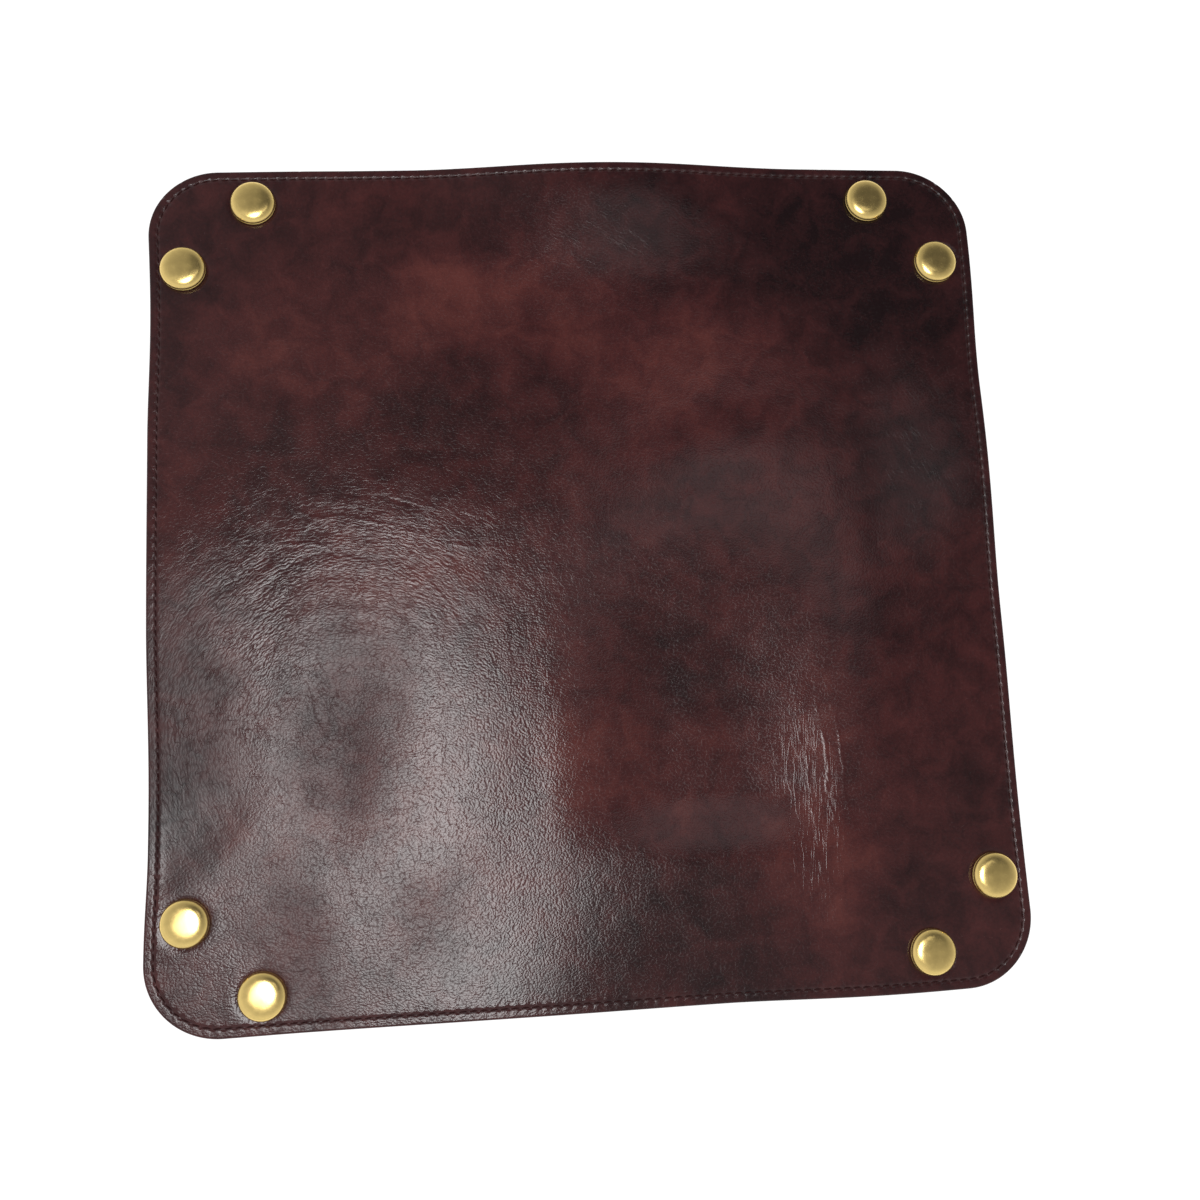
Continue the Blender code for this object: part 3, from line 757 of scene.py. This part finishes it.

# The dye's blotches, with a lighter, redder patch under the sheen as painted sheen and a darker patch in the
# # base's hollow as painted shade: centre and half sizes as shares of half the side, and the strength, from
# dark to rust
DYE_AND_SHEEN_SPOTS = (
    ((-0.65, 0.56), (0.20, 0.10), 0.38),
    ((-0.26, 0.70), (0.13, 0.08), 1.20),
    ((0.18, 0.49), (0.26, 0.12), 0.80),
    ((-0.91, 0.21), (0.10, 0.16), 0.18),
    ((-0.06, -0.46), (0.07, 0.12), 0.45),
    ((0.24, -0.41), (0.14, 0.10), 0.45),
    ((0.52, -0.60), (0.08, 0.22), 0.85),
    ((0.60, 0.20), (0.10, 0.14), 0.15),
    ((-0.40, 0.00), (0.16, 0.08), 0.55),
    ((-0.34, 0.89), (0.24, 0.10), -0.15),
    ((-0.04, 0.41), (0.20, 0.08), -0.55),
    ((0.73, 0.20), (0.16, 0.26), -0.28),
    ((0.23, -0.29), (0.12, 0.12), -0.38),
    ((0.21, -0.84), (0.22, 0.12), -0.50),
    # painted shade: base colour made darker in the hollow of the base
    ((-0.58, -0.32), (0.16, 0.16), -0.40),
    # painted sheen: base colour made lighter and redder where the key light's reflection falls
    ((-0.45, -0.42), (0.44, 0.40), 0.46),
    ((-0.30, 0.52), (0.10, 0.12), -0.15),
    ((0.80, 0.74), (0.24, 0.20), -0.65),
    ((0.36, 0.80), (0.22, 0.12), -0.25),
    ((-0.91, -0.49), (0.06, 0.14), -0.50),
)

# Where wear has dulled the gloss: as for the swells, with a strength in place of the rise
DULL_SPOTS = (
    (-0.57, -0.36, 0.52, 0.24, 0.47, 0.9),
    (-0.68, -0.82, 0.34, 0.15, 0.62, 0.9),
    (-0.92, -0.30, 0.50, 0.22, 0.49, 1.2),
    (-0.40, -0.78, 0.26, 0.18, 0.30, 0.6),
    (0.84, 0.30, 0.34, 0.22, 0.50, 0.7),
    (0.08, 0.82, 0.30, 0.18, 0.00, 0.5),
)


def dye_and_sheen_at(x, y):
    """How strong the rust dye is, 0 where it is nearly black; raised under the sheen as painted sheen,
    lowered in the base's hollow as painted shade.
    """
    bent_x, bent_y = bent(x, y, *DYE_BEND)
    level = 0.42 + layered(x, y, DYE_CLOUDS)
    for (x_share, y_share), (width_share, height_share), strength in DYE_AND_SHEEN_SPOTS:
        away_x = (bent_x - x_share * HALF_SIDE) / (1.6 * width_share * HALF_SIDE)
        away_y = (bent_y - y_share * HALF_SIDE) / (1.6 * height_share * HALF_SIDE)
        level = level + 0.5 * strength * np.exp(-1.5 * (away_x**2 + away_y**2))
    return np.clip(level, 0, 1)


def dull_at(x, y):
    seam = bell(inset_of(x, y) - SEAM_INSET, GROOVE_WIDTH)
    return np.clip(bumps_of(*bent(x, y, *DULL_BEND), DULL_SPOTS) + 2 * seam, 0, 1)


def arcs_at(x, y):
    """How far the grain is drawn out along the arcs of wrinkles, from 0 to 1."""
    away_x, away_y = x - WRINKLE_CENTRE[0], y - WRINKLE_CENTRE[1]
    facing = ease(0.42 + (0.75 * away_y - 0.65 * away_x) / GRAIN_FADE)
    return band(np.hypot(away_x, away_y), *GRAIN_BAND) * facing


def streak_at(x, y):
    """Where fine straight creases run up the sheet at its lower right, from 0 to 1."""
    away_x, away_y = x - STREAK_MIDDLE[0], y - STREAK_MIDDLE[1]
    across = (away_x + STREAK_LEAN * away_y) / STREAK_REACH[0]
    return np.clip(1.3 * mound(away_y / STREAK_REACH[1], across), 0, 1)


# Materials, whose sizes are in mm where they are read from place_mm

class Nodes:
    """Builds the node tree of a material or of the world."""

    def __init__(self, name, dimensions="2D", world=False):
        self.dimensions = dimensions
        self.owner = (bpy.data.worlds if world else bpy.data.materials).new(name)
        self.owner.use_nodes = True
        self.tree = self.owner.node_tree
        self.shader = self.tree.nodes["Background" if world else "Principled BSDF"]

    def add(self, kind, inputs=None, **settings):
        node = self.tree.nodes.new("ShaderNode" + kind)
        for key, value in settings.items():
            setattr(node, key, value)
        for key, value in (inputs or {}).items():
            self.put(node.inputs[key], value)
        return node

    def put(self, socket, value):
        if isinstance(value, bpy.types.NodeSocket):
            self.tree.links.new(value, socket)
        else:
            socket.default_value = value

    def attribute(self, name, output="Fac"):
        return self.add("Attribute", attribute_name=name).outputs[output]

    def place(self):
        return self.attribute("place_mm", "Vector")

    def math(self, operation, first, second=0.0, third=0.0):
        return self.add("Math", {0: first, 1: second, 2: third}, operation=operation).outputs[0]

    def vector(self, operation, *values):
        return self.add("VectorMath", dict(enumerate(values)), operation=operation).outputs[0]

    def stretched(self, vector, size, turn=0.0):
        """The vector turned about Z, then scaled by one over each feature size."""
        scale = tuple(1 / length for length in size)
        turned = self.add("Mapping", {"Vector": vector, "Rotation": (0, 0, turn)}, vector_type="POINT")
        return self.add("Mapping", {"Vector": turned.outputs[0], "Scale": scale}).outputs[0]

    def noise(self, vector, size, detail=2.0, roughness=0.5, distortion=0.0):
        inputs = {"Vector": vector, "Scale": 1 / size, "Detail": detail, "Roughness": roughness,
                  "Distortion": distortion}
        return self.add("TexNoise", inputs, noise_dimensions=self.dimensions).outputs[0]

    def fibres(self, vector, size, turn, detail, roughness, distortion=0.0):
        """Noise whose features are drawn out to this length, width and depth."""
        return self.noise(self.stretched(vector, size, turn), 1.0, detail, roughness, distortion)

    def remap(self, value, low, high, to_low=0.0, to_high=1.0):
        inputs = {"Value": value, "From Min": low, "From Max": high, "To Min": to_low, "To Max": to_high}
        return self.add("MapRange", inputs).outputs[0]

    def spread(self, value, to_low, to_high):
        """The range that a noise mostly covers, spread over these values."""
        return self.remap(value, 0.3, 0.7, to_low, to_high)

    def ramp(self, value, *stops):
        node = self.add("ValToRGB", {0: value})
        elements = node.color_ramp.elements
        while len(elements) < len(stops):
            elements.new(0.5)
        for element, (place, colour) in zip(elements, stops):
            element.position = place
            element.color = (*colour, 1)
        return node.outputs[0]

    def mix(self, share, first, second):
        node = self.add("Mix", data_type="RGBA")
        for number, value in ((0, share), (6, first), (7, second)):
            self.put(node.inputs[number], value)
        return node.outputs[2]

    def bump(self, height, distance, strength=1.0, normal=None):
        inputs = {"Height": height, "Distance": distance, "Strength": strength}
        if normal is not None:
            inputs["Normal"] = normal
        return self.add("Bump", inputs).outputs[0]

    def set(self, **values):
        for key, value in values.items():
            self.put(self.shader.inputs[key.replace("_", " ")], value)
        return self.owner


def around_wrinkles(nodes, place):
    """Flat coordinates whose X runs along the arcs and whose Y runs out from their centre."""
    away = nodes.vector("ADD", place, tuple(-part / MM for part in WRINKLE_CENTRE) + (0,))
    parts = nodes.add("SeparateXYZ", {0: away}).outputs
    turn = nodes.math("ARCTAN2", parts[0], parts[1])
    squares = nodes.math("MULTIPLY_ADD", parts[0], parts[0], nodes.math("POWER", parts[1], 2.0))
    far = nodes.math("SQRT", squares)
    return nodes.add("CombineXYZ", {0: nodes.math("MULTIPLY", turn, 42.0), 1: far}).outputs[0], far


def pebbles(nodes, vector, size):
    """Rounded cells of this length and width, 1 at their middles."""
    cells = nodes.stretched(vector, size)
    found = nodes.add("TexVoronoi", {"Vector": cells, "Scale": 1.0}, voronoi_dimensions="2D").outputs[0]
    return nodes.math("SUBTRACT", 1.0, nodes.math("POWER", found, 1.6))


def thin_line(nodes, value, width):
    """Thin lines where a noise passes its middle value."""
    away = nodes.math("ABSOLUTE", nodes.math("SUBTRACT", value, 0.5))
    return nodes.remap(away, width, 0.0)


def make_leather():
    nodes = Nodes("oxblood_leather")
    place = nodes.place()
    arcs, dye, dull, streak = (nodes.attribute(name) for name in ("arcs", "dye", "dull", "streak"))
    warp = nodes.add("TexNoise", {"Vector": place, "Scale": 1 / 3.2, "Detail": 1.0}, noise_dimensions="2D")
    swayed = nodes.vector("MULTIPLY_ADD", warp.outputs[1], (1.6, 1.6, 0.0), place)
    around, far = around_wrinkles(nodes, swayed)
    plain = pebbles(nodes, swayed, (0.80, 0.66, 1.0))
    grain = nodes.add("Mix", {0: arcs, 2: plain, 3: pebbles(nodes, around, (1.6, 0.72, 1.0))}).outputs[0]
    # The colour follows the dye level, which also holds painted sheen under the key light's reflection and
    # painted shade in the base's hollow
    level = nodes.math("ADD", dye, nodes.spread(nodes.noise(place, 8.5, 4.0, 0.56, 0.4), -0.13, 0.13))
    level = nodes.math("ADD", level, nodes.spread(nodes.noise(place, 1.1, 2.0, 0.6), -0.05, 0.05))
    colour = nodes.ramp(
        level,
        (0.05, (0.0120, 0.0048, 0.0054)),
        (0.34, (0.0365, 0.0106, 0.0112)),
        (0.58, (0.0650, 0.0170, 0.0170)),
        (0.95, (0.1220, 0.0325, 0.0280)),
    )
    drawn = thin_line(nodes, nodes.fibres(around, (15.0, 3.2, 1.0), 0.0, 2.0, 0.55), 0.020)
    branch = thin_line(nodes, nodes.fibres(around, (7.0, 5.0, 1.0), 0.5, 2.0, 0.6), 0.012)
    patches = nodes.remap(nodes.noise(place, 9.0, 2.0, 0.6), 0.42, 0.60)
    where = nodes.math("MULTIPLY", nodes.math("MAXIMUM", arcs, nodes.math("MULTIPLY", dull, 0.7)), patches)
    lines = nodes.math("MULTIPLY", nodes.math("MAXIMUM", drawn, branch), where)
    threads = nodes.fibres(place, (2.1, 17.0, 1.0), 0.06, 2.0, 0.6, 0.3)
    threads = nodes.math("MULTIPLY", thin_line(nodes, threads, 0.055), streak)
    worn = nodes.spread(nodes.noise(place, 11.0, 3.0, 0.6), 0.09, 0.13)
    rough = nodes.math("MULTIPLY_ADD", dull, 0.22, worn)
    rough = nodes.math("ADD", rough, nodes.remap(grain, 1.0, 0.25, 0.0, 0.15))
    rough = nodes.math("MULTIPLY_ADD", lines, 0.15, rough)
    normal = nodes.bump(lines, -0.045 * MM)
    normal = nodes.bump(threads, 0.024 * MM, 1.0, normal)
    normal = nodes.bump(grain, 0.046 * MM, nodes.remap(far, 66.0, 112.0, 1.0, 0.45), normal)
    normal = nodes.bump(nodes.noise(place, 0.30, 1.0, 0.5), 0.004 * MM, 1.0, normal)
    return nodes.set(Base_Color=colour, Roughness=rough, Normal=normal, Specular_IOR_Level=0.36)


def make_leather_edge():
    """The burnished cut, darker than the face."""
    nodes = Nodes("leather_cut_edge")
    fibre = nodes.fibres(nodes.place(), (2.4, 2.4, 0.25), 0.0, 3.0, 0.6)
    colour = nodes.ramp(fibre, (0.3, (0.012, 0.006, 0.005)), (0.7, (0.040, 0.017, 0.012)))
    return nodes.set(Base_Color=colour, Roughness=nodes.spread(fibre, 0.5, 0.7),
                     Normal=nodes.bump(fibre, 0.08 * MM))


def make_suede():
    nodes = Nodes("suede_lining")
    cloud = nodes.noise(nodes.place(), 16.0, 4.0, 0.6, 0.3)
    nap = nodes.fibres(nodes.place(), (0.5, 0.28, 0.5), 0.5, 3.0, 0.65)
    level = nodes.math("ADD", nodes.spread(cloud, 0.0, 0.6), nodes.spread(nap, 0.0, 0.4))
    colour = nodes.ramp(level, (0.1, (0.060, 0.010, 0.014)), (0.9, (0.150, 0.026, 0.032)))
    nodes.set(Sheen_Weight=0.35, Sheen_Roughness=0.45, Sheen_Tint=(0.75, 0.35, 0.36, 1))
    return nodes.set(Base_Color=colour, Roughness=nodes.spread(nap, 0.85, 0.98),
                     Normal=nodes.bump(nap, 0.16 * MM), Specular_IOR_Level=0.2)


def make_thread():
    nodes = Nodes("oxblood_thread")
    ply = nodes.fibres(nodes.place(), (0.5, 0.16, 0.3), 0.8, 2.0, 0.5)
    colour = nodes.ramp(ply, (0.3, (0.014, 0.005, 0.005)), (0.7, (0.055, 0.016, 0.016)))
    return nodes.set(Base_Color=colour, Roughness=nodes.spread(ply, 0.55, 0.80),
                     Normal=nodes.bump(ply, 0.06 * MM), Specular_IOR_Level=0.10)


def make_brass(name, colour, roughness, wear):
    """Polished metal with hairlines, faint dents and a little tarnish."""
    nodes = Nodes(name, "3D")
    place = nodes.vector("MULTIPLY", nodes.add("TexCoord").outputs["Object"], (1000, 1000, 1000))
    cloud = nodes.noise(place, 2.6, 3.0, 0.6)
    hair = nodes.fibres(place, (4.0, 0.06, 1.0), 0.7, 2.0, 0.6)
    tone = nodes.ramp(cloud, (0.25, tuple(0.86 * part for part in colour)), (0.75, colour))
    rough = nodes.math("ADD", nodes.spread(cloud, roughness, roughness + wear),
                       nodes.remap(hair, 0.55, 0.75, 0.0, wear))
    dents = nodes.bump(nodes.noise(place, 3.4, 1.0, 0.4), 0.010 * MM)
    return nodes.set(Base_Color=tone, Metallic=1.0, Roughness=rough,
                     Normal=nodes.bump(hair, 0.0012 * MM, 1.0, dents))


# The sheet's pieces

def ride_or_blend(obj, body):
    """The piece rides on the base; a piece of any other body only has its transform baked into its mesh."""
    if body == "base":
        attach(obj, "base")
        return
    kind, side = body.split("_")[:2]
    if kind == "wall":
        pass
    elif kind == "ear":
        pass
    else:
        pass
    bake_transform(obj)


def tube_faces(first, rings, around):
    """The faces between rings of points that are numbered on from the first."""
    faces = []
    for ring in range(rings - 1):
        for number in range(around):
            a = first + ring * around + number
            b = first + ring * around + (number + 1) % around
            faces.append((a, b, b + around, a + around))
    return faces


def stitches(name, places, height, up, material):
    """The stitches whose middles are at these runs along the seam, as one mesh of short bowed threads."""
    around, steps = 6, 7
    ahead = 0.1 * MM
    verts, faces, runs = [], [], []
    for middle in places:
        first = len(verts)
        for step in range(steps):
            share = step / (steps - 1)
            run = middle + (share - 0.5) * STITCH_SHARE * PITCH
            inset = SEAM_INSET + (share - 0.5) * STITCH_SLANT
            arch = math.sin(math.pi * share)
            x, y = seam_point(run, inset)
            ahead_x, ahead_y = seam_point(run + ahead, inset)
            way_x, way_y = (ahead_x - x) / ahead, (ahead_y - y) / ahead
            thick = THREAD_RADIUS * (0.62 + 0.38 * arch)
            lift = up * (arch * 1.25 - 0.75) * THREAD_RADIUS
            for number in range(around):
                turn = 2 * math.pi * number / around
                out = thick * math.cos(turn)
                verts.append((x - way_y * out, y + way_x * out, lift + thick * math.sin(turn)))
                runs.append((x, y))
        last = first + (steps - 1) * around
        faces += tube_faces(first, steps, around)
        faces.append(tuple(range(first, first + around))[::-1])
        faces.append(tuple(range(last, last + around)))
    verts = np.array(verts)
    verts[:, 2] += height(*np.array(runs).T)
    lain = np.column_stack([*lying(verts[:, 0], verts[:, 1]), verts[:, 2]])
    return mesh_object(name, lain, [face[::-1] for face in faces], [material], {"place_mm": verts / MM})


def make_sheet():
    layers = (
        ("leather", "outer_leather_", *sheet_mesh(LEATHER_STEP, LEATHER_RINGS),
         leather_height, leather_underside, 1, [LEATHER, CUT_EDGE]),
        ("lining", "suede_lining_", *sheet_mesh(LINING_STEP, LINING_RINGS),
         lining_face, lining_back, -1, [SUEDE]),
    )
    middles = [(number + 0.5) * PITCH for number in range(STITCHES)]
    spots = np.array([seam_point(middle, SEAM_INSET) for middle in middles])
    seam_bodies = bodies_at(*spots.T)
    for layer, prefix, flat, faces, face_height, back_height, sign, materials in layers:
        owners = bodies_at(*flat[faces].mean(axis=1).T)
        for number, body in enumerate(BODIES):
            mine = faces[owners == number]
            piece = sheet_piece(prefix + body, flat, mine, face_height, back_height, sign, materials)
            threads = list(ROLLS.get(body, ())) if layer == "leather" else []
            chosen = [middles[i] for i in np.nonzero(seam_bodies == number)[0]]
            if chosen:
                thread = stitches("thread_" + layer + "_" + body, chosen, face_height, sign, THREAD)
                ride_or_blend(thread, body)
                threads.append(thread)
            ride_or_blend(piece, body)
            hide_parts(layer + "_" + body)


# Rolls of leather that show only once the tray is folded

def roll_object(name, verts, faces):
    verts = np.array(verts)
    attributes = {"place_mm": verts / MM, "dye": dye_and_sheen_at(verts[:, 0], verts[:, 1])}
    return mesh_object(name, verts, faces, [LEATHER], attributes)


def corner_roll(name, side):
    """The rounded corner of the base, under the flat sheet until its walls come up."""
    shape = bmesh.new()
    reach = FOLD_PLACE - ROLL_REACH
    for middle_x, middle_y in ((reach, -FOLD_PLACE), (FOLD_PLACE, -reach), (FOLD_PLACE, -FOLD_PLACE)):
        for ring in range(6):
            tilt = math.pi / 2 * ring / 5
            radius = ROLL_RADIUS * math.cos(tilt)
            z = LINING_LEVEL + ROLL_FLOOR + (ROLL_RADIUS - ROLL_FLOOR) * math.sin(tilt)
            for step in range(24):
                turn = 2 * math.pi * step / 24
                x, y = middle_x + radius * math.cos(turn), middle_y + radius * math.sin(turn)
                shape.verts.new((*from_side(x, y, side), z))
    hull = bmesh.ops.convex_hull(shape, input=shape.verts)
    spare = {item for key in ("geom_interior", "geom_unused") for item in hull[key]
             if isinstance(item, bmesh.types.BMVert)}
    bmesh.ops.delete(shape, geom=list(spare), context="VERTS")
    bmesh.ops.remove_doubles(shape, verts=shape.verts, dist=MERGE_DISTANCE)
    bmesh.ops.recalc_face_normals(shape, faces=shape.faces)
    shape.verts.index_update()
    verts = [tuple(vert.co) for vert in shape.verts]
    faces = [tuple(vert.index for vert in face.verts) for face in shape.faces]
    shape.free()
    return roll_object(name, verts, faces)


def crease_roll(name, side):
    """The rounded edge between a crease strip and the ear with the stud, along their open pivot."""
    start = (FOLD_PLACE + CORNER_PLACE) / ROOT_2 + ROLL_START_GAP
    end = ROOT_2 * ARC_CENTRE + CORNER_RADIUS - ROLL_END_GAP
    arc = [math.radians(ROLL_TURN) * step / 10 for step in range(11)]
    section = [(ROLL_RADIUS * math.sin(turn), ROLL_RADIUS * math.cos(turn)) for turn in arc]
    section += [(ROLL_FLOOR * math.sin(turn), ROLL_FLOOR * math.cos(turn)) for turn in reversed(arc)]
    verts = []
    steps, count = 26, len(section)
    for step in range(steps + 1):
        along = start + (end - start) * step / steps
        for inward, rise in section:
            across = CREASE_WIDTH / 2 - inward
            x, y = (along + across) / ROOT_2, (across - along) / ROOT_2
            verts.append((*from_side(x, y, side), LINING_LEVEL + rise))
    faces = [(b, a, d, c) for a, b, c, d in tube_faces(0, steps + 1, count)]
    for number in range(count // 2 - 1):
        quad = (number, number + 1, count - 2 - number, count - 1 - number)
        faces.append(quad)
        faces.append(tuple(steps * count + corner for corner in reversed(quad)))
    return roll_object(name, verts, faces)


def make_rolls():
    """For each body, the rolls that ride on it."""
    rolls = {}
    for side in SIDES:
        neighbour = next_side(side)
        for make, kind, body in ((corner_roll, "corner_roll_", "base"),
                                 (crease_roll, "crease_roll_", f"ear_{neighbour}_{side}")):
            piece = make(kind + side + "_" + neighbour, side)
            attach(piece, body)
            rolls.setdefault(body, []).append(piece)
    return rolls


# Turned pieces

def turned(name, profile, place, material, closed):
    """A profile of (radius, height) points turned about Z; it starts and ends on the axis, or is closed."""
    verts, faces, rows = [], [], []
    for radius, height in profile:
        if radius == 0:
            rows.append([len(verts)] * TURN_STEPS)
            verts.append((0, 0, height))
            continue
        rows.append(list(range(len(verts), len(verts) + TURN_STEPS)))
        for step in range(TURN_STEPS):
            turn = 2 * math.pi * step / TURN_STEPS
            verts.append((radius * math.cos(turn), radius * math.sin(turn), height))
    if closed:
        rows.append(rows[0])
    for upper, lower in zip(rows, rows[1:]):
        for step in range(TURN_STEPS):
            after = (step + 1) % TURN_STEPS
            ring = [upper[step], lower[step], lower[after], upper[after]]
            face = [vert for number, vert in enumerate(ring) if vert not in ring[:number]]
            if len(face) > 2:
                faces.append(face)
    obj = mesh_object(name, verts, faces, [material])
    obj.data.set_sharp_from_angle(angle=math.radians(SHARP_ANGLE))
    obj.location = place
    return obj


def arc_points(middle, level, radius, start, end, steps):
    """Points of a profile along an arc, whose ends are given in right angles."""
    turns = [math.pi / 2 * (start + (end - start) * step / steps) for step in range(steps + 1)]
    return [(middle + radius * math.cos(turn), level + radius * math.sin(turn)) for turn in turns]


def cap_profile(height):
    """A low dome with a full shoulder over a thin rolled rim, and its post, spread at this height in all."""
    roll = CAP_RIM_HEIGHT * 0.45
    foot = CAP_RIM_HEIGHT * 0.9
    profile = [(0, CAP_TOP)]
    for step in range(1, 33):
        share = math.sin(math.pi / 2 * step / 32)
        crown = 1 - CAP_CROWN * share**2
        profile.append((CAP_DOME_RADIUS * share, foot + (CAP_TOP - foot) * crown * (1 - share**5) ** 0.5))
    rim = arc_points(CAP_RADIUS - roll, roll, roll, 1.1, -1.0, 12)
    profile += [(radius, rise - CAP_RIM_DROP * step / 12) for step, (radius, rise) in enumerate(rim)]
    end = CAP_TOP - height
    return profile + [
        (CAP_RADIUS - 2 * roll, CAP_UNDERSIDE),
        (POST_RADIUS, CAP_UNDERSIDE),
        (POST_RADIUS, end + CLINCH_THICKNESS),
        (CLINCH_RADIUS - CLINCH_INSETS[0], end + CLINCH_THICKNESS),
        (CLINCH_RADIUS, end + CLINCH_THICKNESS / 2),
        (CLINCH_RADIUS - CLINCH_INSETS[1], end),
        (CLINCH_RADIUS - CLINCH_INSETS[2], end),
        (CLINCH_RADIUS - CLINCH_INSETS[3], end + CLINCH_THICKNESS),
        (0, end + CLINCH_THICKNESS),
    ]


def socket_profile(height):
    """The cup under the lining, with a bore, a groove for its spring, and a rolled lip."""
    bevel = SOCKET_MOUTH_RADIUS - SOCKET_BORE_RADIUS
    reach = SOCKET_RADIUS - SOCKET_ROUND
    groove_low = -height + bevel + GROOVE_LIP
    groove_top = groove_low + GROOVE_HEIGHT
    groove_radius = SOCKET_BORE_RADIUS + SPRING_GROOVE_DEPTH
    return [
        (HOLE_RADIUS, 0),
        *arc_points(reach, -SOCKET_ROUND, SOCKET_ROUND, 1, 0, 6),
        *arc_points(reach, SOCKET_ROUND - height, SOCKET_ROUND, 0, -1, 6),
        ((SOCKET_MOUTH_RADIUS + reach) / 2, -height + SOCKET_RING_DEPTH),
        *arc_points(SOCKET_MOUTH_RADIUS, bevel - height, bevel, -1, -2, 6),
        (SOCKET_BORE_RADIUS, groove_low),
        (groove_radius, groove_low),
        (groove_radius, groove_top),
        (SOCKET_BORE_RADIUS, groove_top),
        (SOCKET_BORE_RADIUS, -SOCKET_FLOOR),
        (HOLE_RADIUS, -SOCKET_FLOOR),
    ]


def stud_profile(height):
    """The stud under the lining: a rounded flange, a waisted neck and a domed head, hollow for its post."""
    half = STUD_FLANGE / 2
    neck = STUD_NECK_RADIUS + STUD_NECK_FILL
    profile = [(HOLE_RADIUS, 0), *arc_points(STUD_RADIUS - half, -half, half, 1, -1, 8)]
    for step in range(13):
        share = step / 12
        if share > STUD_WAIST:
            swell = math.sin(math.pi * (share - STUD_WAIST))
        else:
            swell = -0.25 * math.sin(math.pi * share / STUD_WAIST)
        rise = -STUD_FLANGE - share * (height - STUD_FLANGE)
        profile.append((neck + (STUD_HEAD_RADIUS - neck) * swell, rise))
    return profile + [(HOLE_RADIUS, -height)]


def snap_piece(prefix, kind, name, profile_of, top, material, closed=False):
    """A turned piece in place of a node of a snap, whose profile's top is this far over its origin."""
    node = kind + "_" + name
    low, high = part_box(node)
    middle = (low + high) / 2
    place = (middle.x, middle.y, high.z - top)
    piece = turned(prefix + node, profile_of(high.z - low.z), place, material, closed)
    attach(piece, "ear_" + name)
    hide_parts(node)


def make_snaps():
    for name, _, _, _ in SNAPS:
        snap_piece("dome_", "cap", name, cap_profile, CAP_TOP, BRASS)
    for name, _, _, half in SNAPS:
        profile_of = socket_profile if half == "socket" else stud_profile
        snap_piece("turned_", half, name, profile_of, 0, SATIN_BRASS, closed=True)
        if half == "socket":
            spring = bpy.data.objects["socket_spring_" + name]
            spring.data.materials.clear()
            spring.data.materials.append(STEEL)


# Stage, camera and lights

def make_stage():
    nodes = Nodes("pale_floor")
    rays = nodes.add("LightPath").outputs
    seen = nodes.math("MAXIMUM", rays["Is Camera Ray"], rays["Is Glossy Ray"])
    seen = nodes.math("MAXIMUM", seen, rays["Is Transmission Ray"])
    nodes.set(Base_Color=(0.25, 0.25, 0.25, 1), Roughness=0.9, Specular_IOR_Level=0.0,
              Emission_Color=(1, 1, 1, 1), Emission_Strength=nodes.math("MULTIPLY", seen, 0.92))
    bpy.ops.mesh.primitive_plane_add(size=8, location=(0, 0, FLOOR_LEVEL))
    floor = bpy.context.object
    floor.name = "floor"
    floor.data.materials.append(nodes.owner)
    bpy.ops.mesh.primitive_cube_add(size=1, location=(0, 0, (FLOOR_LEVEL - PLINTH_GAP) / 2))
    plinth = bpy.context.object
    plinth.name = "display_plinth"
    plinth.dimensions = (PLINTH_SIDE, PLINTH_SIDE, -FLOOR_LEVEL - PLINTH_GAP)
    bpy.ops.object.transform_apply(location=False, rotation=False, scale=True)
    soften = plinth.modifiers.new("soften", "BEVEL")
    soften.width = PLINTH_BEVEL
    soften.segments = 3
    plinth.data.materials.append(Nodes("pale_plinth").set(Base_Color=(0.72, 0.71, 0.69, 1), Roughness=0.8))


def make_camera():
    camera = bpy.data.cameras.new("camera")
    camera.lens = CAMERA_LENS
    camera.sensor_width = 36
    camera.clip_start = 0.01
    camera.clip_end = 20
    obj = linked("camera", camera, CAMERA_PLACE)
    obj.rotation_euler = CAMERA_TURN
    bpy.context.scene.camera = obj


def make_lights():
    """Oval lights that face straight down, under a sky that is pale low down and white to the camera."""
    for name, (place, size, radiance, turn) in SOFTBOXES.items():
        light = bpy.data.lights.new(name, "AREA")
        light.shape = "ELLIPSE"
        light.size, light.size_y = size
        light.energy = radiance * math.pi * math.pi / 4 * size[0] * size[1]
        linked(name, light, place).rotation_euler.z = turn
    nodes = Nodes("studio", world=True)
    bpy.context.scene.world = nodes.owner
    way = nodes.add("TexCoord").outputs["Generated"]
    towards = {0: way, 1: Vector(SKY_TOP_WAY).normalized()}
    up = nodes.add("VectorMath", towards, operation="DOT_PRODUCT").outputs["Value"]
    sky = nodes.ramp(up, *((place, (level, level, level)) for place, level in SKY_LEVELS), SKY_TOP)
    seen = nodes.add("LightPath").outputs["Is Camera Ray"]
    nodes.set(Color=nodes.mix(seen, sky, (1, 1, 1, 1)), Strength=1.0)


LEATHER = make_leather()
CUT_EDGE = make_leather_edge()
SUEDE = make_suede()
THREAD = make_thread()
BRASS = make_brass("cap_brass", (0.96, 0.71, 0.26), 0.19, 0.06)
SATIN_BRASS = make_brass("satin_brass", (0.72, 0.52, 0.24), 0.26, 0.10)
STEEL = make_brass("spring_steel", (0.56, 0.56, 0.58), 0.20, 0.08)
ROLLS = make_rolls()
make_sheet()
make_snaps()
make_stage()
make_camera()
make_lights()
bpy.context.scene.view_settings.view_transform = "Standard"
